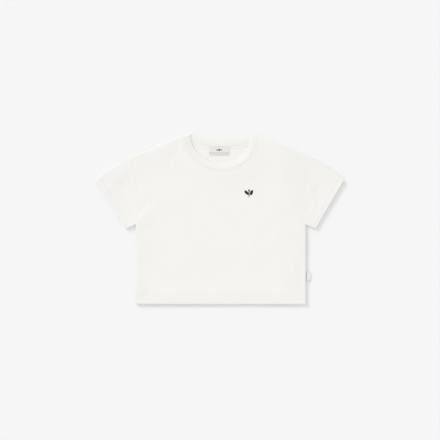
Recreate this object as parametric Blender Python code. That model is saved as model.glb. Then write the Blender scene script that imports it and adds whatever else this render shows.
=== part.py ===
"""A boxy crew-neck T-shirt with wide short sleeves, lying flat and front up.

Run with: blender --background --python part.py
Units are metres. +X is the wearer's left, +Y runs from the hem to the neck and
+Z is up. The origin lies on the resting surface, under the middle of the box
round the garment. A plan height (a name ending in _H) is measured up from the hem.
"""
import math

import bmesh
import bpy
import numpy as np

# ---- Cut: the plan sizes that drive everything ---------------------------
LENGTH = 0.521            # hem to the highest point of the folded collar
BODY_HALF = 0.260         # centre to side seam: the chest is 520 mm across
UNDERARM_H = 0.2441       # hem to underarm
SHOULDER_HALF = 0.2766    # centre to the top of the armhole seam, dropped
SHOULDER_H = 0.4463       # hem to the top of the armhole seam
ARMHOLE_SCOOP = 0.0135    # how far the armhole seam curves in from a straight line
ARMHOLE_LOW = 0.8         # under 1 puts the deepest part of the scoop below half way
NECK_HALF = 0.1126        # centre to the collar seam at the shoulder
NECK_H = 0.5145           # hem to the collar seam at the shoulder
FRONT_NECK_DROP = 0.104   # shoulder to the front collar seam at the centre
BACK_NECK_DROP = 0.032    # the same at the back
CUFF_LOW = (0.2906, 0.2312)   # under corner of the left cuff, in plan
CUFF_TIP = (0.3785, 0.3800)   # upper corner of the left cuff, in plan
SLEEVE_CROWN = 0.0042     # how far the sleeve's top fold bulges over a straight line

# ---- Cloth ---------------------------------------------------------------
WALL = 0.0012             # one layer of jersey
HEM_WALL = 0.0020         # jersey turned up and stitched down: two pressed layers
HEM_DEPTH = 0.020         # depth of the turned hem and cuffs
SEAM_GAP = 0.0003         # between two pieces that are sewn together
EDGE_ROLL = 0.003         # radius in plan of the rounded side and shoulder edges
SEAM_RISE = 0.64          # height of a side seam or fold, as a share of the garment's

# ---- Collar: a doubled band of 1x1 rib -----------------------------------
BAND = 0.0022             # thickness of the doubled rib
BAND_DEPTH = 0.020        # seam to folded free edge
BAND_TIP = 0.0008         # rounding of the folded free edge
FREE_HALF = 0.0927        # centre to the free edge at the shoulder fold
FREE_H = 0.5198           # hem to the free edge at the shoulder fold
FREE_BACK_DROP = 0.0173   # shoulder fold to the free edge at the centre back
FREE_DROOP = 0.0015       # how far the front free edge lies lower than the seam
DROOP_FROM = 0.25         # it droops where the cosine of the section's angle is over this
DROOP_FULL = 0.85         # and fully over this
RIB_PITCH = 0.0028        # one rib and one groove
RIB_RELIEF = 0.00035      # height of a rib over its groove
FOLD_ANGLE = math.radians(88.6)   # where the front band ends and its shoulder fold starts
FOLD_SHARE = 0.985                # the same on the back band, as a share of its half width
FOLD_STEPS = 6                    # sections round each shoulder fold
BACK_CURVE = 2.6                  # how flat the back neckline is in the middle
BACK_CORNER = 0.75                # how squarely the back seam turns up to the shoulder

# ---- How the upper layer lies --------------------------------------------
MID_LIFT = 0.0033         # top of the front panel, well inside the edges
EDGE_LIFT = 0.0053        # top along hems, seams and neckline, where layers are doubled
EDGE_FADE = 0.040         # how far in from an edge the extra height fades

# Soft folds of the upper layer, each a low ridge from one plan point to another
FOLD_COLUMNS = ("x0", "h0", "x1", "h1", "width", "height")
FOLDS = (
    (0.245, 0.262, 0.150, 0.330, 0.014, 0.0008),
    (-0.247, 0.258, -0.165, 0.318, 0.016, 0.0007),
    (0.285, 0.400, 0.345, 0.330, 0.013, 0.0008),
    (-0.290, 0.410, -0.350, 0.345, 0.015, 0.0007),
    (0.080, 0.060, 0.110, 0.240, 0.028, 0.0005),
    (-0.120, 0.050, -0.090, 0.220, 0.032, 0.0005),
    (0.190, 0.020, 0.175, 0.110, 0.018, 0.0006),
    (-0.200, 0.015, -0.190, 0.090, 0.020, 0.0005),
    (0.150, 0.480, 0.205, 0.420, 0.018, 0.0006),
    (-0.160, 0.470, -0.215, 0.405, 0.020, 0.0005),
    (-0.030, 0.385, 0.050, 0.370, 0.024, 0.0004),
)

# ---- Labels --------------------------------------------------------------
NECK_LABEL_WIDTH = 0.061
NECK_LABEL_DEPTH = 0.027
NECK_LABEL_THICK = 0.0010   # woven tape folded into a loop
NECK_LABEL_X = -0.0045      # it sits a little to the wearer's right
SIDE_LABEL_H = 0.0850       # hem to the middle of the side label
SIDE_LABEL_TALL = 0.024
SIDE_LABEL_OUT = 0.0160     # how far it sticks out of the side seam
SIDE_LABEL_THICK = 0.0010
SIDE_LABEL_SAG = 0.0024     # its free edge sinks this much, almost to the surface

# ---- Spacing of the sections ---------------------------------------------
NECK_STEPS = 11             # columns from the centre to the collar seam's shoulder end
SHOULDER_STEPS = 8          # columns from there to the armhole
LOWER_STEPS = 9             # rows from the turned hem to the underarm
UPPER_STEPS = 8             # rows from the underarm to the shoulder
SLEEVE_STEPS = 6            # sections from the armhole to the cuff's turned hem
ROLL_STOPS = (0.0, 0.13, 0.45, 1.0)     # distances in from a rolled edge, by its radius
HEM_ROUND = 0.0008                      # rounding of a turned hem's folded edge
HEM_STEP = 0.0008                       # half the slope where the turned layer ends
UNDERARM_ROWS = (0.0015, 0.005)         # extra rows just over the underarm
LABEL_COLUMNS = 9
LABEL_ROWS = 5
SHARP_ANGLE = 40            # degrees over which a shaded edge stays sharp

JERSEY_COLOUR = (0.905, 0.896, 0.863, 1.0)
RIB_COLOUR = (0.890, 0.880, 0.846, 1.0)
NECK_LABEL_COLOUR = (0.80, 0.79, 0.77, 1.0)
SIDE_LABEL_COLOUR = (0.80, 0.79, 0.77, 1.0)


# ---- Outline -------------------------------------------------------------
def half_width(h):
    """Centre to edge of the body at height h: a straight side, then the armhole."""
    if h <= UNDERARM_H:
        return BODY_HALF
    t = min((h - UNDERARM_H) / (SHOULDER_H - UNDERARM_H), 1.0)
    straight = BODY_HALF + t * (SHOULDER_HALF - BODY_HALF)
    return straight - ARMHOLE_SCOOP * math.sin(math.pi * t ** ARMHOLE_LOW)


def front_seam_h(x):
    """Height of the front collar seam at x: half an ellipse."""
    share = min(abs(x) / NECK_HALF, 1.0)
    return NECK_H - FRONT_NECK_DROP * math.sqrt(1.0 - share * share)


def back_seam_h(x):
    """Height of the back collar seam at x: flat in the middle, turned up at the ends."""
    share = min(abs(x) / NECK_HALF, 1.0)
    return NECK_H - BACK_NECK_DROP * (1.0 - share ** BACK_CURVE) ** BACK_CORNER


def top_h(x, neck_seam_h):
    """Height of a body panel's upper edge at x: its neckline, then the shoulder seam."""
    if abs(x) <= NECK_HALF:
        return neck_seam_h(x)
    t = (abs(x) - NECK_HALF) / (SHOULDER_HALF - NECK_HALF)
    return NECK_H + t * (SHOULDER_H - NECK_H)


def outline():
    """The plan outline of the left half and of the front neckline, as segments."""
    neckline = [(NECK_HALF * math.sin(a), NECK_H - FRONT_NECK_DROP * math.cos(a))
                for a in np.linspace(0.0, math.pi / 2, 10)]
    points = [(0.0, 0.0), (BODY_HALF, 0.0), (BODY_HALF, UNDERARM_H), CUFF_LOW, CUFF_TIP,
              (SHOULDER_HALF, SHOULDER_H)] + neckline[::-1]
    return np.array(points[:-1]), np.array(points[1:])


EDGE_STARTS, EDGE_ENDS = outline()
SIDE_SEAM = (np.array([[BODY_HALF, 0.0]]), np.array([[BODY_HALF, UNDERARM_H]]))
SHOULDER_SEAM = (np.array([[NECK_HALF, NECK_H]]), np.array([[SHOULDER_HALF, SHOULDER_H]]))


def distance(point, starts, ends):
    """Shortest way from a plan point to any of the segments, and how far along it is."""
    along = ends - starts
    share = ((point - starts) * along).sum(axis=1) / (along * along).sum(axis=1)
    share = np.clip(share, 0.0, 1.0)
    gaps = np.linalg.norm(point - (starts + along * share[:, None]), axis=1)
    nearest = int(gaps.argmin())
    return float(gaps[nearest]), float(share[nearest])


# ---- Heights -------------------------------------------------------------
def top_z(x, h):
    """Height over the surface of the garment's upper side, before its edges roll."""
    gap, _ = distance(np.array([abs(x), h]), EDGE_STARTS, EDGE_ENDS)
    lift = MID_LIFT + (EDGE_LIFT - MID_LIFT) * math.exp(-(gap / EDGE_FADE) ** 2)
    for row in FOLDS:
        fold = dict(zip(FOLD_COLUMNS, row))
        start = np.array([[fold["x0"], fold["h0"]]])
        end = np.array([[fold["x1"], fold["h1"]]])
        away, share = distance(np.array([x, h]), start, end)
        fade = 0.35 + 0.65 * math.sin(math.pi * share)
        lift += fold["height"] * fade * math.exp(-(away / fold["width"]) ** 2)
    return lift


def rolled(seam_z, flat_z, share):
    """Height on a rounded edge: seam_z at its seam (share 0), flat_z past it (share 1)."""
    share = min(max(share, 0.0), 1.0)
    return seam_z + (flat_z - seam_z) * math.sqrt(1.0 - (1.0 - share) ** 2)


def droop(angle):
    """How far the front free edge lies lower than its seam, at a section's angle."""
    share = (math.cos(angle) - DROOP_FROM) / (DROOP_FULL - DROOP_FROM)
    share = min(max(share, 0.0), 1.0)
    return FREE_DROOP * share * share * (3.0 - 2.0 * share)


def world(x, h, z):
    """A point of the model from its plan place and its height over the surface."""
    return (x, h - LENGTH / 2, z)


# ---- Mesh and material helpers -------------------------------------------
def clear_scene():
    for item in list(bpy.data.objects):
        bpy.data.objects.remove(item, do_unlink=True)


def cloth_material(name, colour, roughness):
    material = bpy.data.materials.new(name)
    material.use_nodes = True
    shader = material.node_tree.nodes["Principled BSDF"]
    shader.inputs["Base Color"].default_value = colour
    shader.inputs["Roughness"].default_value = roughness
    shader.inputs["Metallic"].default_value = 0.0
    return material


def section_loop(outer, inner):
    """A wall's section: out along its outer points and back along its inner ones."""
    return list(outer) + list(inner)[::-1]


def loft(name, loops, closed, material, collection):
    """One closed solid bridged through section loops. closed joins the last loop to the
    first; otherwise the two end loops are filled across the wall."""
    mesh = bmesh.new()
    sections = [[mesh.verts.new(point) for point in loop] for loop in loops]
    count = len(loops[0])
    following = sections[1:] + (sections[:1] if closed else [])
    for here, after in zip(sections, following):
        for j in range(count):
            k = (j + 1) % count
            mesh.faces.new((here[j], here[k], after[k], after[j]))
    if not closed:
        for end in (sections[0], sections[-1]):
            for j in range(count // 2 - 1):
                mesh.faces.new((end[j], end[j + 1], end[count - 2 - j], end[count - 1 - j]))
    bmesh.ops.recalc_face_normals(mesh, faces=mesh.faces)
    data = bpy.data.meshes.new(name)
    mesh.to_mesh(data)
    mesh.free()
    data.shade_smooth()
    data.set_sharp_from_angle(angle=math.radians(SHARP_ANGLE))
    data.materials.append(material)
    piece = bpy.data.objects.new(name, data)
    collection.objects.link(piece)
    return piece


# ---- Body panels ---------------------------------------------------------
def panel_columns():
    """Places of a panel's columns as shares of its half width, side to side."""
    neck = [NECK_HALF * math.sin(a) / SHOULDER_HALF
            for a in np.linspace(0.0, math.pi / 2, NECK_STEPS + 1)]
    roll_start = 1.0 - EDGE_ROLL / BODY_HALF
    shoulder = list(np.linspace(neck[-1], roll_start, SHOULDER_STEPS + 1))[1:]
    edge = [1.0 - stop * EDGE_ROLL / BODY_HALF for stop in ROLL_STOPS[::-1]][1:]
    half = neck + shoulder + edge
    return [-share for share in half[:0:-1]] + half


def column_x(share, h):
    """Place at height h of the column that meets the upper edge at this share. Columns
    under the neckline are straight, and the outer ones follow the side and armhole."""
    neck_share = NECK_HALF / SHOULDER_HALF
    follow = max(0.0, (abs(share) - neck_share) / (1.0 - neck_share))
    width = abs(share) * SHOULDER_HALF - follow * (SHOULDER_HALF - half_width(h))
    return math.copysign(width, share)


def panel_rows(top):
    """Heights of a column's points, from the hem to its upper end at height top."""
    hem = [0.0, HEM_ROUND, HEM_DEPTH - HEM_STEP, HEM_DEPTH + HEM_STEP]
    lower = list(np.linspace(hem[-1], UNDERARM_H, LOWER_STEPS + 1))[1:]
    over = [UNDERARM_H + rise for rise in UNDERARM_ROWS]
    upper = list(np.linspace(over[-1], top - EDGE_ROLL, UPPER_STEPS + 1))[1:]
    edge = [top - stop * EDGE_ROLL for stop in ROLL_STOPS[::-1]][1:]
    return hem + lower + over + upper + edge


def layer_wall(h_from_hem):
    """Thickness of the cloth, doubled within the turned hem."""
    share = (HEM_DEPTH + HEM_STEP - h_from_hem) / (2 * HEM_STEP)
    return WALL + (HEM_WALL - WALL) * min(max(share, 0.0), 1.0)


def panel_point(x, h, is_front):
    """The outer and inner points of a panel over one plan place."""
    place = np.array([abs(x), h])
    side_gap, _ = distance(place, *SIDE_SEAM)
    shoulder_gap, _ = distance(place, *SHOULDER_SEAM)
    share = min(side_gap, shoulder_gap) / EDGE_ROLL
    top = top_z(x, h)
    wall = layer_wall(h)
    if is_front:
        seam_z, outer_flat, inner_flat = top * SEAM_RISE + SEAM_GAP / 2, top, top - wall
    else:
        seam_z, outer_flat, inner_flat = top * SEAM_RISE - SEAM_GAP / 2, 0.0, wall
    if h < HEM_ROUND:
        nip = (outer_flat - inner_flat) * 0.25
        inner_flat += nip
        outer_flat -= nip if is_front else 0.0
    outer = world(x, h, rolled(seam_z, outer_flat, share))
    in_from_side = WALL * max(0.0, 1.0 - side_gap / EDGE_ROLL)
    in_from_shoulder = WALL * max(0.0, 1.0 - shoulder_gap / EDGE_ROLL)
    slope = (NECK_H - SHOULDER_H) / (SHOULDER_HALF - NECK_HALF)
    lean = math.hypot(1.0, slope)
    inner_x = x - math.copysign(in_from_side + in_from_shoulder * slope / lean, x)
    inner_h = h - in_from_shoulder / lean
    inner = world(inner_x, inner_h, rolled(seam_z, inner_flat, share))
    return outer, inner


def make_panel(name, neck_seam_h, is_front, material, collection):
    """A body panel, lofted from side to side through a section at each column."""
    loops = []
    for share in panel_columns():
        top = top_h(share * SHOULDER_HALF, neck_seam_h)
        pairs = [panel_point(column_x(share, h), h, is_front) for h in panel_rows(top)]
        loops.append(section_loop(*zip(*pairs)))
    return loft(name, loops, False, material, collection)


# ---- Sleeves -------------------------------------------------------------
def sleeve_shares():
    """Shares along the armhole from underarm to shoulder: the rows of the body panels."""
    heights = [h for h in panel_rows(SHOULDER_H) if h >= UNDERARM_H - 1e-9]
    return [(h - UNDERARM_H) / (SHOULDER_H - UNDERARM_H) for h in heights]


def sleeve_plan(share, way):
    """Plan place on the left sleeve: share from underarm to top, way from armhole to cuff."""
    armhole_h = UNDERARM_H + share * (SHOULDER_H - UNDERARM_H)
    armhole = np.array([half_width(armhole_h) + SEAM_GAP, armhole_h])
    low, tip = np.array(CUFF_LOW), np.array(CUFF_TIP)
    cuff = low + share * (tip - low)
    crown = SLEEVE_CROWN * share ** 2 * math.sin(math.pi * way ** 1.3)
    top_line = tip - np.array([SHOULDER_HALF, SHOULDER_H])
    outward = np.array([-top_line[1], top_line[0]]) / np.linalg.norm(top_line)
    return armhole + way * (cuff - armhole) + crown * outward


def sleeve_ways():
    """Shares of the way from the armhole to the cuff, with the turned hem's own steps."""
    reach = np.linalg.norm(np.array(CUFF_TIP) - np.array([SHOULDER_HALF, SHOULDER_H]))
    hem = 1.0 - (HEM_DEPTH + HEM_STEP) / reach
    turned = [1.0 - (HEM_DEPTH - HEM_STEP) / reach, 1.0 - HEM_ROUND / reach, 1.0]
    return list(np.linspace(0.0, hem, SLEEVE_STEPS + 1)) + turned, hem


def make_sleeve(name, side, material, collection):
    """A flattened tube. Its sections run round from the underarm fold over the upper
    layer to the top fold, and back through the lower layer."""
    shares = sleeve_shares()
    ways, hem_start = sleeve_ways()
    around = [(share, True) for share in shares] + [(share, False) for share in shares[-2:0:-1]]
    loops = []
    for share, is_upper in around:
        outer, inner = [], []
        for way in ways:
            low, high = sleeve_plan(0.0, way), sleeve_plan(1.0, way)
            across = np.linalg.norm(high - low)
            gap = min(share, 1.0 - share) * across
            place = sleeve_plan(share, way)
            top = top_z(side * place[0], place[1])
            wall = HEM_WALL if way > hem_start + 1e-9 else WALL
            outer_flat, inner_flat = (top, top - wall) if is_upper else (0.0, wall)
            if way == 1.0:
                nip = 0.25 * (outer_flat - inner_flat)
                inner_flat += nip
                outer_flat -= nip if is_upper else 0.0
            toward = (high - low) / across * (1.0 if share < 0.5 else -1.0)
            inside = place + toward * WALL * max(0.0, 1.0 - gap / EDGE_ROLL)
            roll = gap / EDGE_ROLL
            fold_z = top * SEAM_RISE
            outer.append(world(side * place[0], place[1], rolled(fold_z, outer_flat, roll)))
            inner.append(world(side * inside[0], inside[1], rolled(fold_z, inner_flat, roll)))
        loops.append(section_loop(outer, inner))
    return loft(name, loops, True, material, collection)


# ---- Collar --------------------------------------------------------------
def inward(curve, t, step=1e-4):
    """Unit vector square to a plan curve at t, towards the neck opening's middle."""
    ahead, behind = np.array(curve(t + step)), np.array(curve(t - step))
    along = (ahead - behind) / np.linalg.norm(ahead - behind)
    return np.array([-along[1], along[0]])


def on_panel_edge(x, neck_seam_h):
    """Plan place at x on a panel's neckline as its columns draw it, edge by edge."""
    nodes = [column * SHOULDER_HALF for column in panel_columns()
             if abs(column) * SHOULDER_HALF <= NECK_HALF + 1e-9]
    return (x, float(np.interp(x, nodes, [neck_seam_h(node) for node in nodes])))


def front_seam(angle):
    return on_panel_edge(NECK_HALF * math.sin(angle), front_seam_h)


def back_seam(share):
    return on_panel_edge(NECK_HALF * share, back_seam_h)


def front_station(angle):
    """Free and seam ends of a front section of the band, in plan."""
    free_drop = FREE_H - (NECK_H - FRONT_NECK_DROP + BAND_DEPTH)
    free = np.array([FREE_HALF * math.sin(angle), FREE_H - free_drop * math.cos(angle)])
    seam = np.array(front_seam(angle)) + inward(front_seam, angle) * SEAM_GAP
    return free, seam


def back_station(share):
    """Free and seam ends of a back section of the band, in plan."""
    free_h = FREE_H - FREE_BACK_DROP * (1.0 - abs(share) ** BACK_CURVE)
    free = np.array([FREE_HALF * share, free_h])
    seam = np.array(back_seam(share)) + inward(back_seam, share) * SEAM_GAP
    return free, seam


def band_section(free, seam, free_z, seam_z, normal, ribs):
    """One section of the band, out along its outer face to the free edge and back.

    free and seam are the ends of its middle line in plan, free_z and seam_z their
    heights, normal the unit vector out of the garment, ribs the relief added to the
    (outer, inner) face."""
    start = np.array(world(seam[0], seam[1], seam_z))
    end = np.array(world(free[0], free[1], free_z))
    along = (end - start) / np.linalg.norm(end - start)
    tip = end - along * BAND_TIP
    middle = (start + tip) / 2
    half = BAND / 2
    outer = [point + normal * (half + ribs[0]) for point in (start, middle, tip)] + [end]
    inner = [point - normal * (half + ribs[1]) for point in (start, middle, tip)]
    return section_loop(outer, inner)


def make_collar(material, collection):
    """The doubled rib as one ring: across the front, round the left shoulder fold,
    across the back and round the right shoulder fold."""
    up = np.array([0.0, 0.0, 1.0])
    front_reach = math.pi * (NECK_HALF + FRONT_NECK_DROP - BAND_DEPTH) / 2
    front_count = 2 * round(front_reach / RIB_PITCH)
    back_count = 2 * round(2 * (NECK_HALF - BAND_DEPTH / 2) / RIB_PITCH)
    lower_z = BAND / 2
    sections = []

    for i in range(front_count + 1):
        angle = -FOLD_ANGLE + 2 * FOLD_ANGLE * i / front_count
        free, seam = front_station(angle)
        seam_z = top_z(*seam) - BAND / 2
        ribs = (RIB_RELIEF * (i % 2), 0.0)
        sections.append(band_section(free, seam, seam_z - droop(angle), seam_z, up, ribs))

    def shoulder_fold(side):
        """Sections round one fold, from the front band to the back band."""
        front_free, front_end = front_station(FOLD_ANGLE)
        back_free, back_end = back_station(FOLD_SHARE)
        across = (front_end + back_end) / 2 - (front_free + back_free) / 2
        out = np.array([-across[1], across[0]]) / np.linalg.norm(across)
        upper_z = top_z(*front_end) - BAND / 2
        radius = (upper_z - lower_z) / 2
        fold = []
        for k in range(1, FOLD_STEPS):
            turn = math.pi * k / FOLD_STEPS
            share = k / FOLD_STEPS
            shift = out * radius * math.sin(turn)
            free = (front_free + share * (back_free - front_free) + shift) * (side, 1)
            seam = (front_end + share * (back_end - front_end) + shift) * (side, 1)
            z = lower_z + radius * (1.0 + math.cos(turn))
            flat_out = np.array([side * out[0], out[1], 0.0]) * math.sin(turn)
            fold.append(band_section(free, seam, z, z, flat_out + up * math.cos(turn), (0.0, 0.0)))
        return fold

    sections += shoulder_fold(1)
    for i in range(back_count + 1):
        share = FOLD_SHARE * (1.0 - 2.0 * i / back_count)
        free, seam = back_station(share)
        ribs = (0.0, RIB_RELIEF * (i % 2))
        sections.append(band_section(free, seam, lower_z, lower_z, -up, ribs))
    sections += shoulder_fold(-1)[::-1]

    return loft("neck_rib", sections, True, material, collection)


# ---- Labels --------------------------------------------------------------
def make_neck_label(material, collection):
    """A woven label under the back collar seam, on the inside of the back panel."""
    loops = []
    for x in np.linspace(-0.5, 0.5, LABEL_COLUMNS) * NECK_LABEL_WIDTH + NECK_LABEL_X:
        top = back_seam_h(x) - SEAM_GAP
        outer, inner = [], []
        for h in np.linspace(top - NECK_LABEL_DEPTH, top, LABEL_ROWS):
            _, (_, _, panel_z) = panel_point(x, h, False)
            inner.append(world(x, h, panel_z + SEAM_GAP))
            outer.append(world(x, h, panel_z + SEAM_GAP + NECK_LABEL_THICK))
        loops.append(section_loop(outer, inner))
    return loft("neck_label", loops, False, material, collection)


def make_side_label(material, collection):
    """A woven tab that stands out of the wearer's left side seam and sags a little."""
    loops = []
    for share in np.linspace(0.0, 1.0, LABEL_COLUMNS):
        x = BODY_HALF + SEAM_GAP + SIDE_LABEL_OUT * share
        outer, inner = [], []
        for h in np.linspace(-0.5, 0.5, LABEL_ROWS) * SIDE_LABEL_TALL + SIDE_LABEL_H:
            middle_z = top_z(BODY_HALF, h) * SEAM_RISE - SIDE_LABEL_SAG * share ** 1.5
            outer.append(world(x, h, middle_z + SIDE_LABEL_THICK / 2))
            inner.append(world(x, h, middle_z - SIDE_LABEL_THICK / 2))
        loops.append(section_loop(outer, inner))
    return loft("side_label", loops, False, material, collection)


def main():
    clear_scene()
    collection = bpy.data.collections.new("t_shirt")
    bpy.context.scene.collection.children.link(collection)
    jersey = cloth_material("cotton_jersey", JERSEY_COLOUR, 0.92)
    rib = cloth_material("cotton_rib", RIB_COLOUR, 0.92)
    woven = cloth_material("woven_label", NECK_LABEL_COLOUR, 0.7)
    side_tape = cloth_material("side_tape", SIDE_LABEL_COLOUR, 0.75)
    make_panel("front", front_seam_h, True, jersey, collection)
    make_panel("back", back_seam_h, False, jersey, collection)
    make_sleeve("sleeve_left", 1, jersey, collection)
    make_sleeve("sleeve_right", -1, jersey, collection)
    make_collar(rib, collection)
    make_neck_label(woven, collection)
    make_side_label(side_tape, collection)


main()
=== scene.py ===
"""Dresses the flat T-shirt: jersey panels, sleeves, ribbed collar, stitching, labels
and a small embroidered sprig, on a pale studio floor.

Units are metres. +X is the wearer's left, +Y runs from the hem to the neck and +Z is
up. A plan height h is measured up from the hem, as a maker measures a garment.
"""
import math

import bpy
import numpy as np
from bpy.props import FloatProperty, FloatVectorProperty, IntProperty, PointerProperty
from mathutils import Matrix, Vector

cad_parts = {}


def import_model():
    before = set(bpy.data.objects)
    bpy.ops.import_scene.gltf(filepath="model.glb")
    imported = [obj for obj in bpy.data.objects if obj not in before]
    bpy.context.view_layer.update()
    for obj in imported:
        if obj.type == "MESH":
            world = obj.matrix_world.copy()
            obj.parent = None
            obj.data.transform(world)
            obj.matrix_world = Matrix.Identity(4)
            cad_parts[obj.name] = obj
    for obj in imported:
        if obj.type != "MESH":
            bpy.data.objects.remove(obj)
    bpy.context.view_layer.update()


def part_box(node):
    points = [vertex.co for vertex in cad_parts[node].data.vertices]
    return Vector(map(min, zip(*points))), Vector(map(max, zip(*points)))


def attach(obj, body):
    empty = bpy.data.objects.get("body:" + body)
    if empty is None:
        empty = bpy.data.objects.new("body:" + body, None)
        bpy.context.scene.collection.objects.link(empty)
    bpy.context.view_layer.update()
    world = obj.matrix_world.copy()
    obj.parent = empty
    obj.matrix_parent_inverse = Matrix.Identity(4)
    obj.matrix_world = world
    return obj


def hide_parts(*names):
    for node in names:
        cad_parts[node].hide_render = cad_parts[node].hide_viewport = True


bl_info = {
    "name": "Flat T-shirt",
    "version": (1, 0, 0),
    "blender": (4, 5, 0),
    "location": "View3D > Sidebar > T-shirt",
    "description": "Makes a boxy crew-neck T-shirt that lies flat, front up",
    "category": "Object",
}

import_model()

BODY = "root"
HEM_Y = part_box("front")[0].y
SHOULDER_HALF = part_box("front")[1].x
CUFF_TIP_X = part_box("sleeve_left")[1].x
BACK_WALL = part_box("neck_label")[0].z

# Soft folds, each a low ridge: x0, h0, x1, h1, width, height. A negative height is a
# trough. The main folds are those of the solids, and the others are this file's own.
FOLD_END = 0.35         # height of a fold at its ends, as a share of its middle
MAIN_FOLDS = (
    (0.245, 0.262, 0.150, 0.330, 0.014, 0.0008),
    (-0.247, 0.258, -0.165, 0.318, 0.016, 0.0007),
    (0.285, 0.400, 0.345, 0.330, 0.013, 0.0008),
    (-0.290, 0.410, -0.350, 0.345, 0.015, 0.0007),
    (0.080, 0.060, 0.110, 0.240, 0.028, 0.0005),
    (-0.120, 0.050, -0.090, 0.220, 0.032, 0.0005),
    (0.190, 0.020, 0.175, 0.110, 0.018, 0.0006),
    (-0.200, 0.015, -0.190, 0.090, 0.020, 0.0005),
    (0.150, 0.480, 0.205, 0.420, 0.018, 0.0006),
    (-0.160, 0.470, -0.215, 0.405, 0.020, 0.0005),
    (-0.030, 0.385, 0.050, 0.370, 0.024, 0.0004),
)
FINE_FOLDS = (
    (0.252, 0.250, 0.214, 0.296, 0.0050, 0.00045),
    (0.256, 0.285, 0.226, 0.318, 0.0045, -0.00035),
    (0.250, 0.232, 0.196, 0.226, 0.0055, 0.00030),
    (-0.254, 0.246, -0.222, 0.288, 0.0050, 0.00040),
    (-0.256, 0.276, -0.232, 0.300, 0.0045, -0.00030),
    (-0.250, 0.228, -0.205, 0.218, 0.0060, 0.00028),
    (0.268, 0.262, 0.292, 0.318, 0.0060, 0.00045),
    (0.282, 0.248, 0.318, 0.290, 0.0050, 0.00035),
    (0.262, 0.330, 0.292, 0.372, 0.0060, 0.00030),
    (-0.268, 0.268, -0.296, 0.322, 0.0060, 0.00040),
    (-0.284, 0.250, -0.314, 0.286, 0.0050, 0.00030),
    (-0.264, 0.340, -0.290, 0.384, 0.0065, 0.00030),
    (0.244, 0.046, 0.243, 0.128, 0.0050, -0.00035),
    (0.232, 0.060, 0.216, 0.150, 0.0080, 0.00030),
    (-0.242, 0.060, -0.236, 0.140, 0.0070, -0.00025),
    (0.128, 0.438, 0.148, 0.398, 0.0080, 0.00030),
    (-0.132, 0.446, -0.158, 0.402, 0.0090, 0.00028),
    (0.060, 0.030, 0.072, 0.090, 0.0110, 0.00030),
    (-0.050, 0.028, -0.060, 0.100, 0.0120, 0.00028),
    (0.010, 0.120, -0.020, 0.250, 0.0200, 0.00025),
    (0.160, 0.180, 0.190, 0.260, 0.0140, 0.00030),
    (-0.170, 0.150, -0.200, 0.230, 0.0150, 0.00028),
)
# Folds of the underside, which rise off the resting surface as shallow troughs
UNDER_FOLDS = (
    (0.240, 0.255, 0.140, 0.315, 0.012, 0.00050),
    (-0.242, 0.262, -0.150, 0.330, 0.014, 0.00045),
    (0.050, 0.040, 0.085, 0.200, 0.018, 0.00035),
    (-0.100, 0.030, -0.070, 0.180, 0.020, 0.00035),
    (0.180, 0.430, 0.110, 0.380, 0.014, 0.00035),
    (-0.190, 0.425, -0.120, 0.370, 0.015, 0.00030),
    (0.290, 0.385, 0.335, 0.320, 0.010, 0.00040),
    (-0.295, 0.390, -0.340, 0.330, 0.011, 0.00035),
    (0.020, 0.300, -0.040, 0.410, 0.022, 0.00030),
)

# A slow ripple that keeps the cloth from looking pressed dead flat
RIPPLE_SEED = 11
RIPPLE_WAVES = 9
RIPPLE_LENGTHS = (0.045, 0.160)
RIPPLE_HEIGHT = 0.00016

# Leaves and bud of the sprig: x, y, length and width in millimetres, turn in degrees
SPRIG = (
    (-7.4, 1.2, 17.5, 10.0, 124.0),
    (7.4, 1.2, 17.5, 10.0, 56.0),
    (0.0, 7.4, 8.4, 5.6, 90.0),
)
SPRIG_STEM = (-12.5, 3.4, 2.0)      # lower end, upper end and width, in millimetres
MM = 0.001

# One stitch: sides, rings, and how much its rings are filled out, by place from the middle
STITCH_SIDES = 6
STITCH_RINGS = 6
STITCH_FULLNESS = ((0.5, 1.12), (0.866, 1.56))
RING_REACH = 0.02       # how near its place a ring's vertices are
STITCH_SHARE = 0.86     # of the pitch of a row, the rest is the gap to the next stitch

# Where the cloth's points lie: shares of a rolled edge, distances in from a seam and
# from the fold of a hem. Stops nearer to the one before than the least step are left out.
ROLL_STOPS = (0.0, 0.04, 0.10, 0.20, 0.34, 0.52, 0.75, 1.0)
SEAM_STOPS = (0.0, 0.0004, 0.0008, 0.0013, 0.0020, 0.0032, 0.0048, 0.0064, 0.0080, 0.0100)
FOLD_STOPS = (0.0, 0.0001, 0.0003, 0.0006)
LEAST_STEP = 0.00006
HEM_MARGIN = 0.004      # how far past a turned hem the rows stay close together
PANEL_HEM = (0.001, 0.0007)         # first row after the fold, and the step
SLEEVE_HEM = (0.003, 0.0008)        # margin past the hem, and the step
NECK_COLUMNS, SHOULDER_COLUMNS, SLEEVE_COLUMNS = 37, 54, 66
LOWER_ROWS, UPPER_ROWS, SLEEVE_ROWS = 74, 68, 34
CUFF_POINTS = 60

# Fine relief of seams, stitch rows and turned hems
GROOVE_WIDTH = 0.0009   # of the dip at a seam and along a row of stitches
STITCH_DIP = 0.00028
RIDGE_START, RIDGE_RUN, RIDGE_FADE = 0.0008, 0.0014, 0.0022
HEM_PUFF, CUFF_PUFF = 0.00022, 0.0002
HEM_STEP, STEP_RUN, STEP_FADE = 0.00025, 0.0015, 0.012
TURN_RUN = 0.0016       # over which two layers thin down to one
HEM_RADIUS, HEM_LEAST = 0.001, 0.06         # round of a fold, and thickness at it
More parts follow.
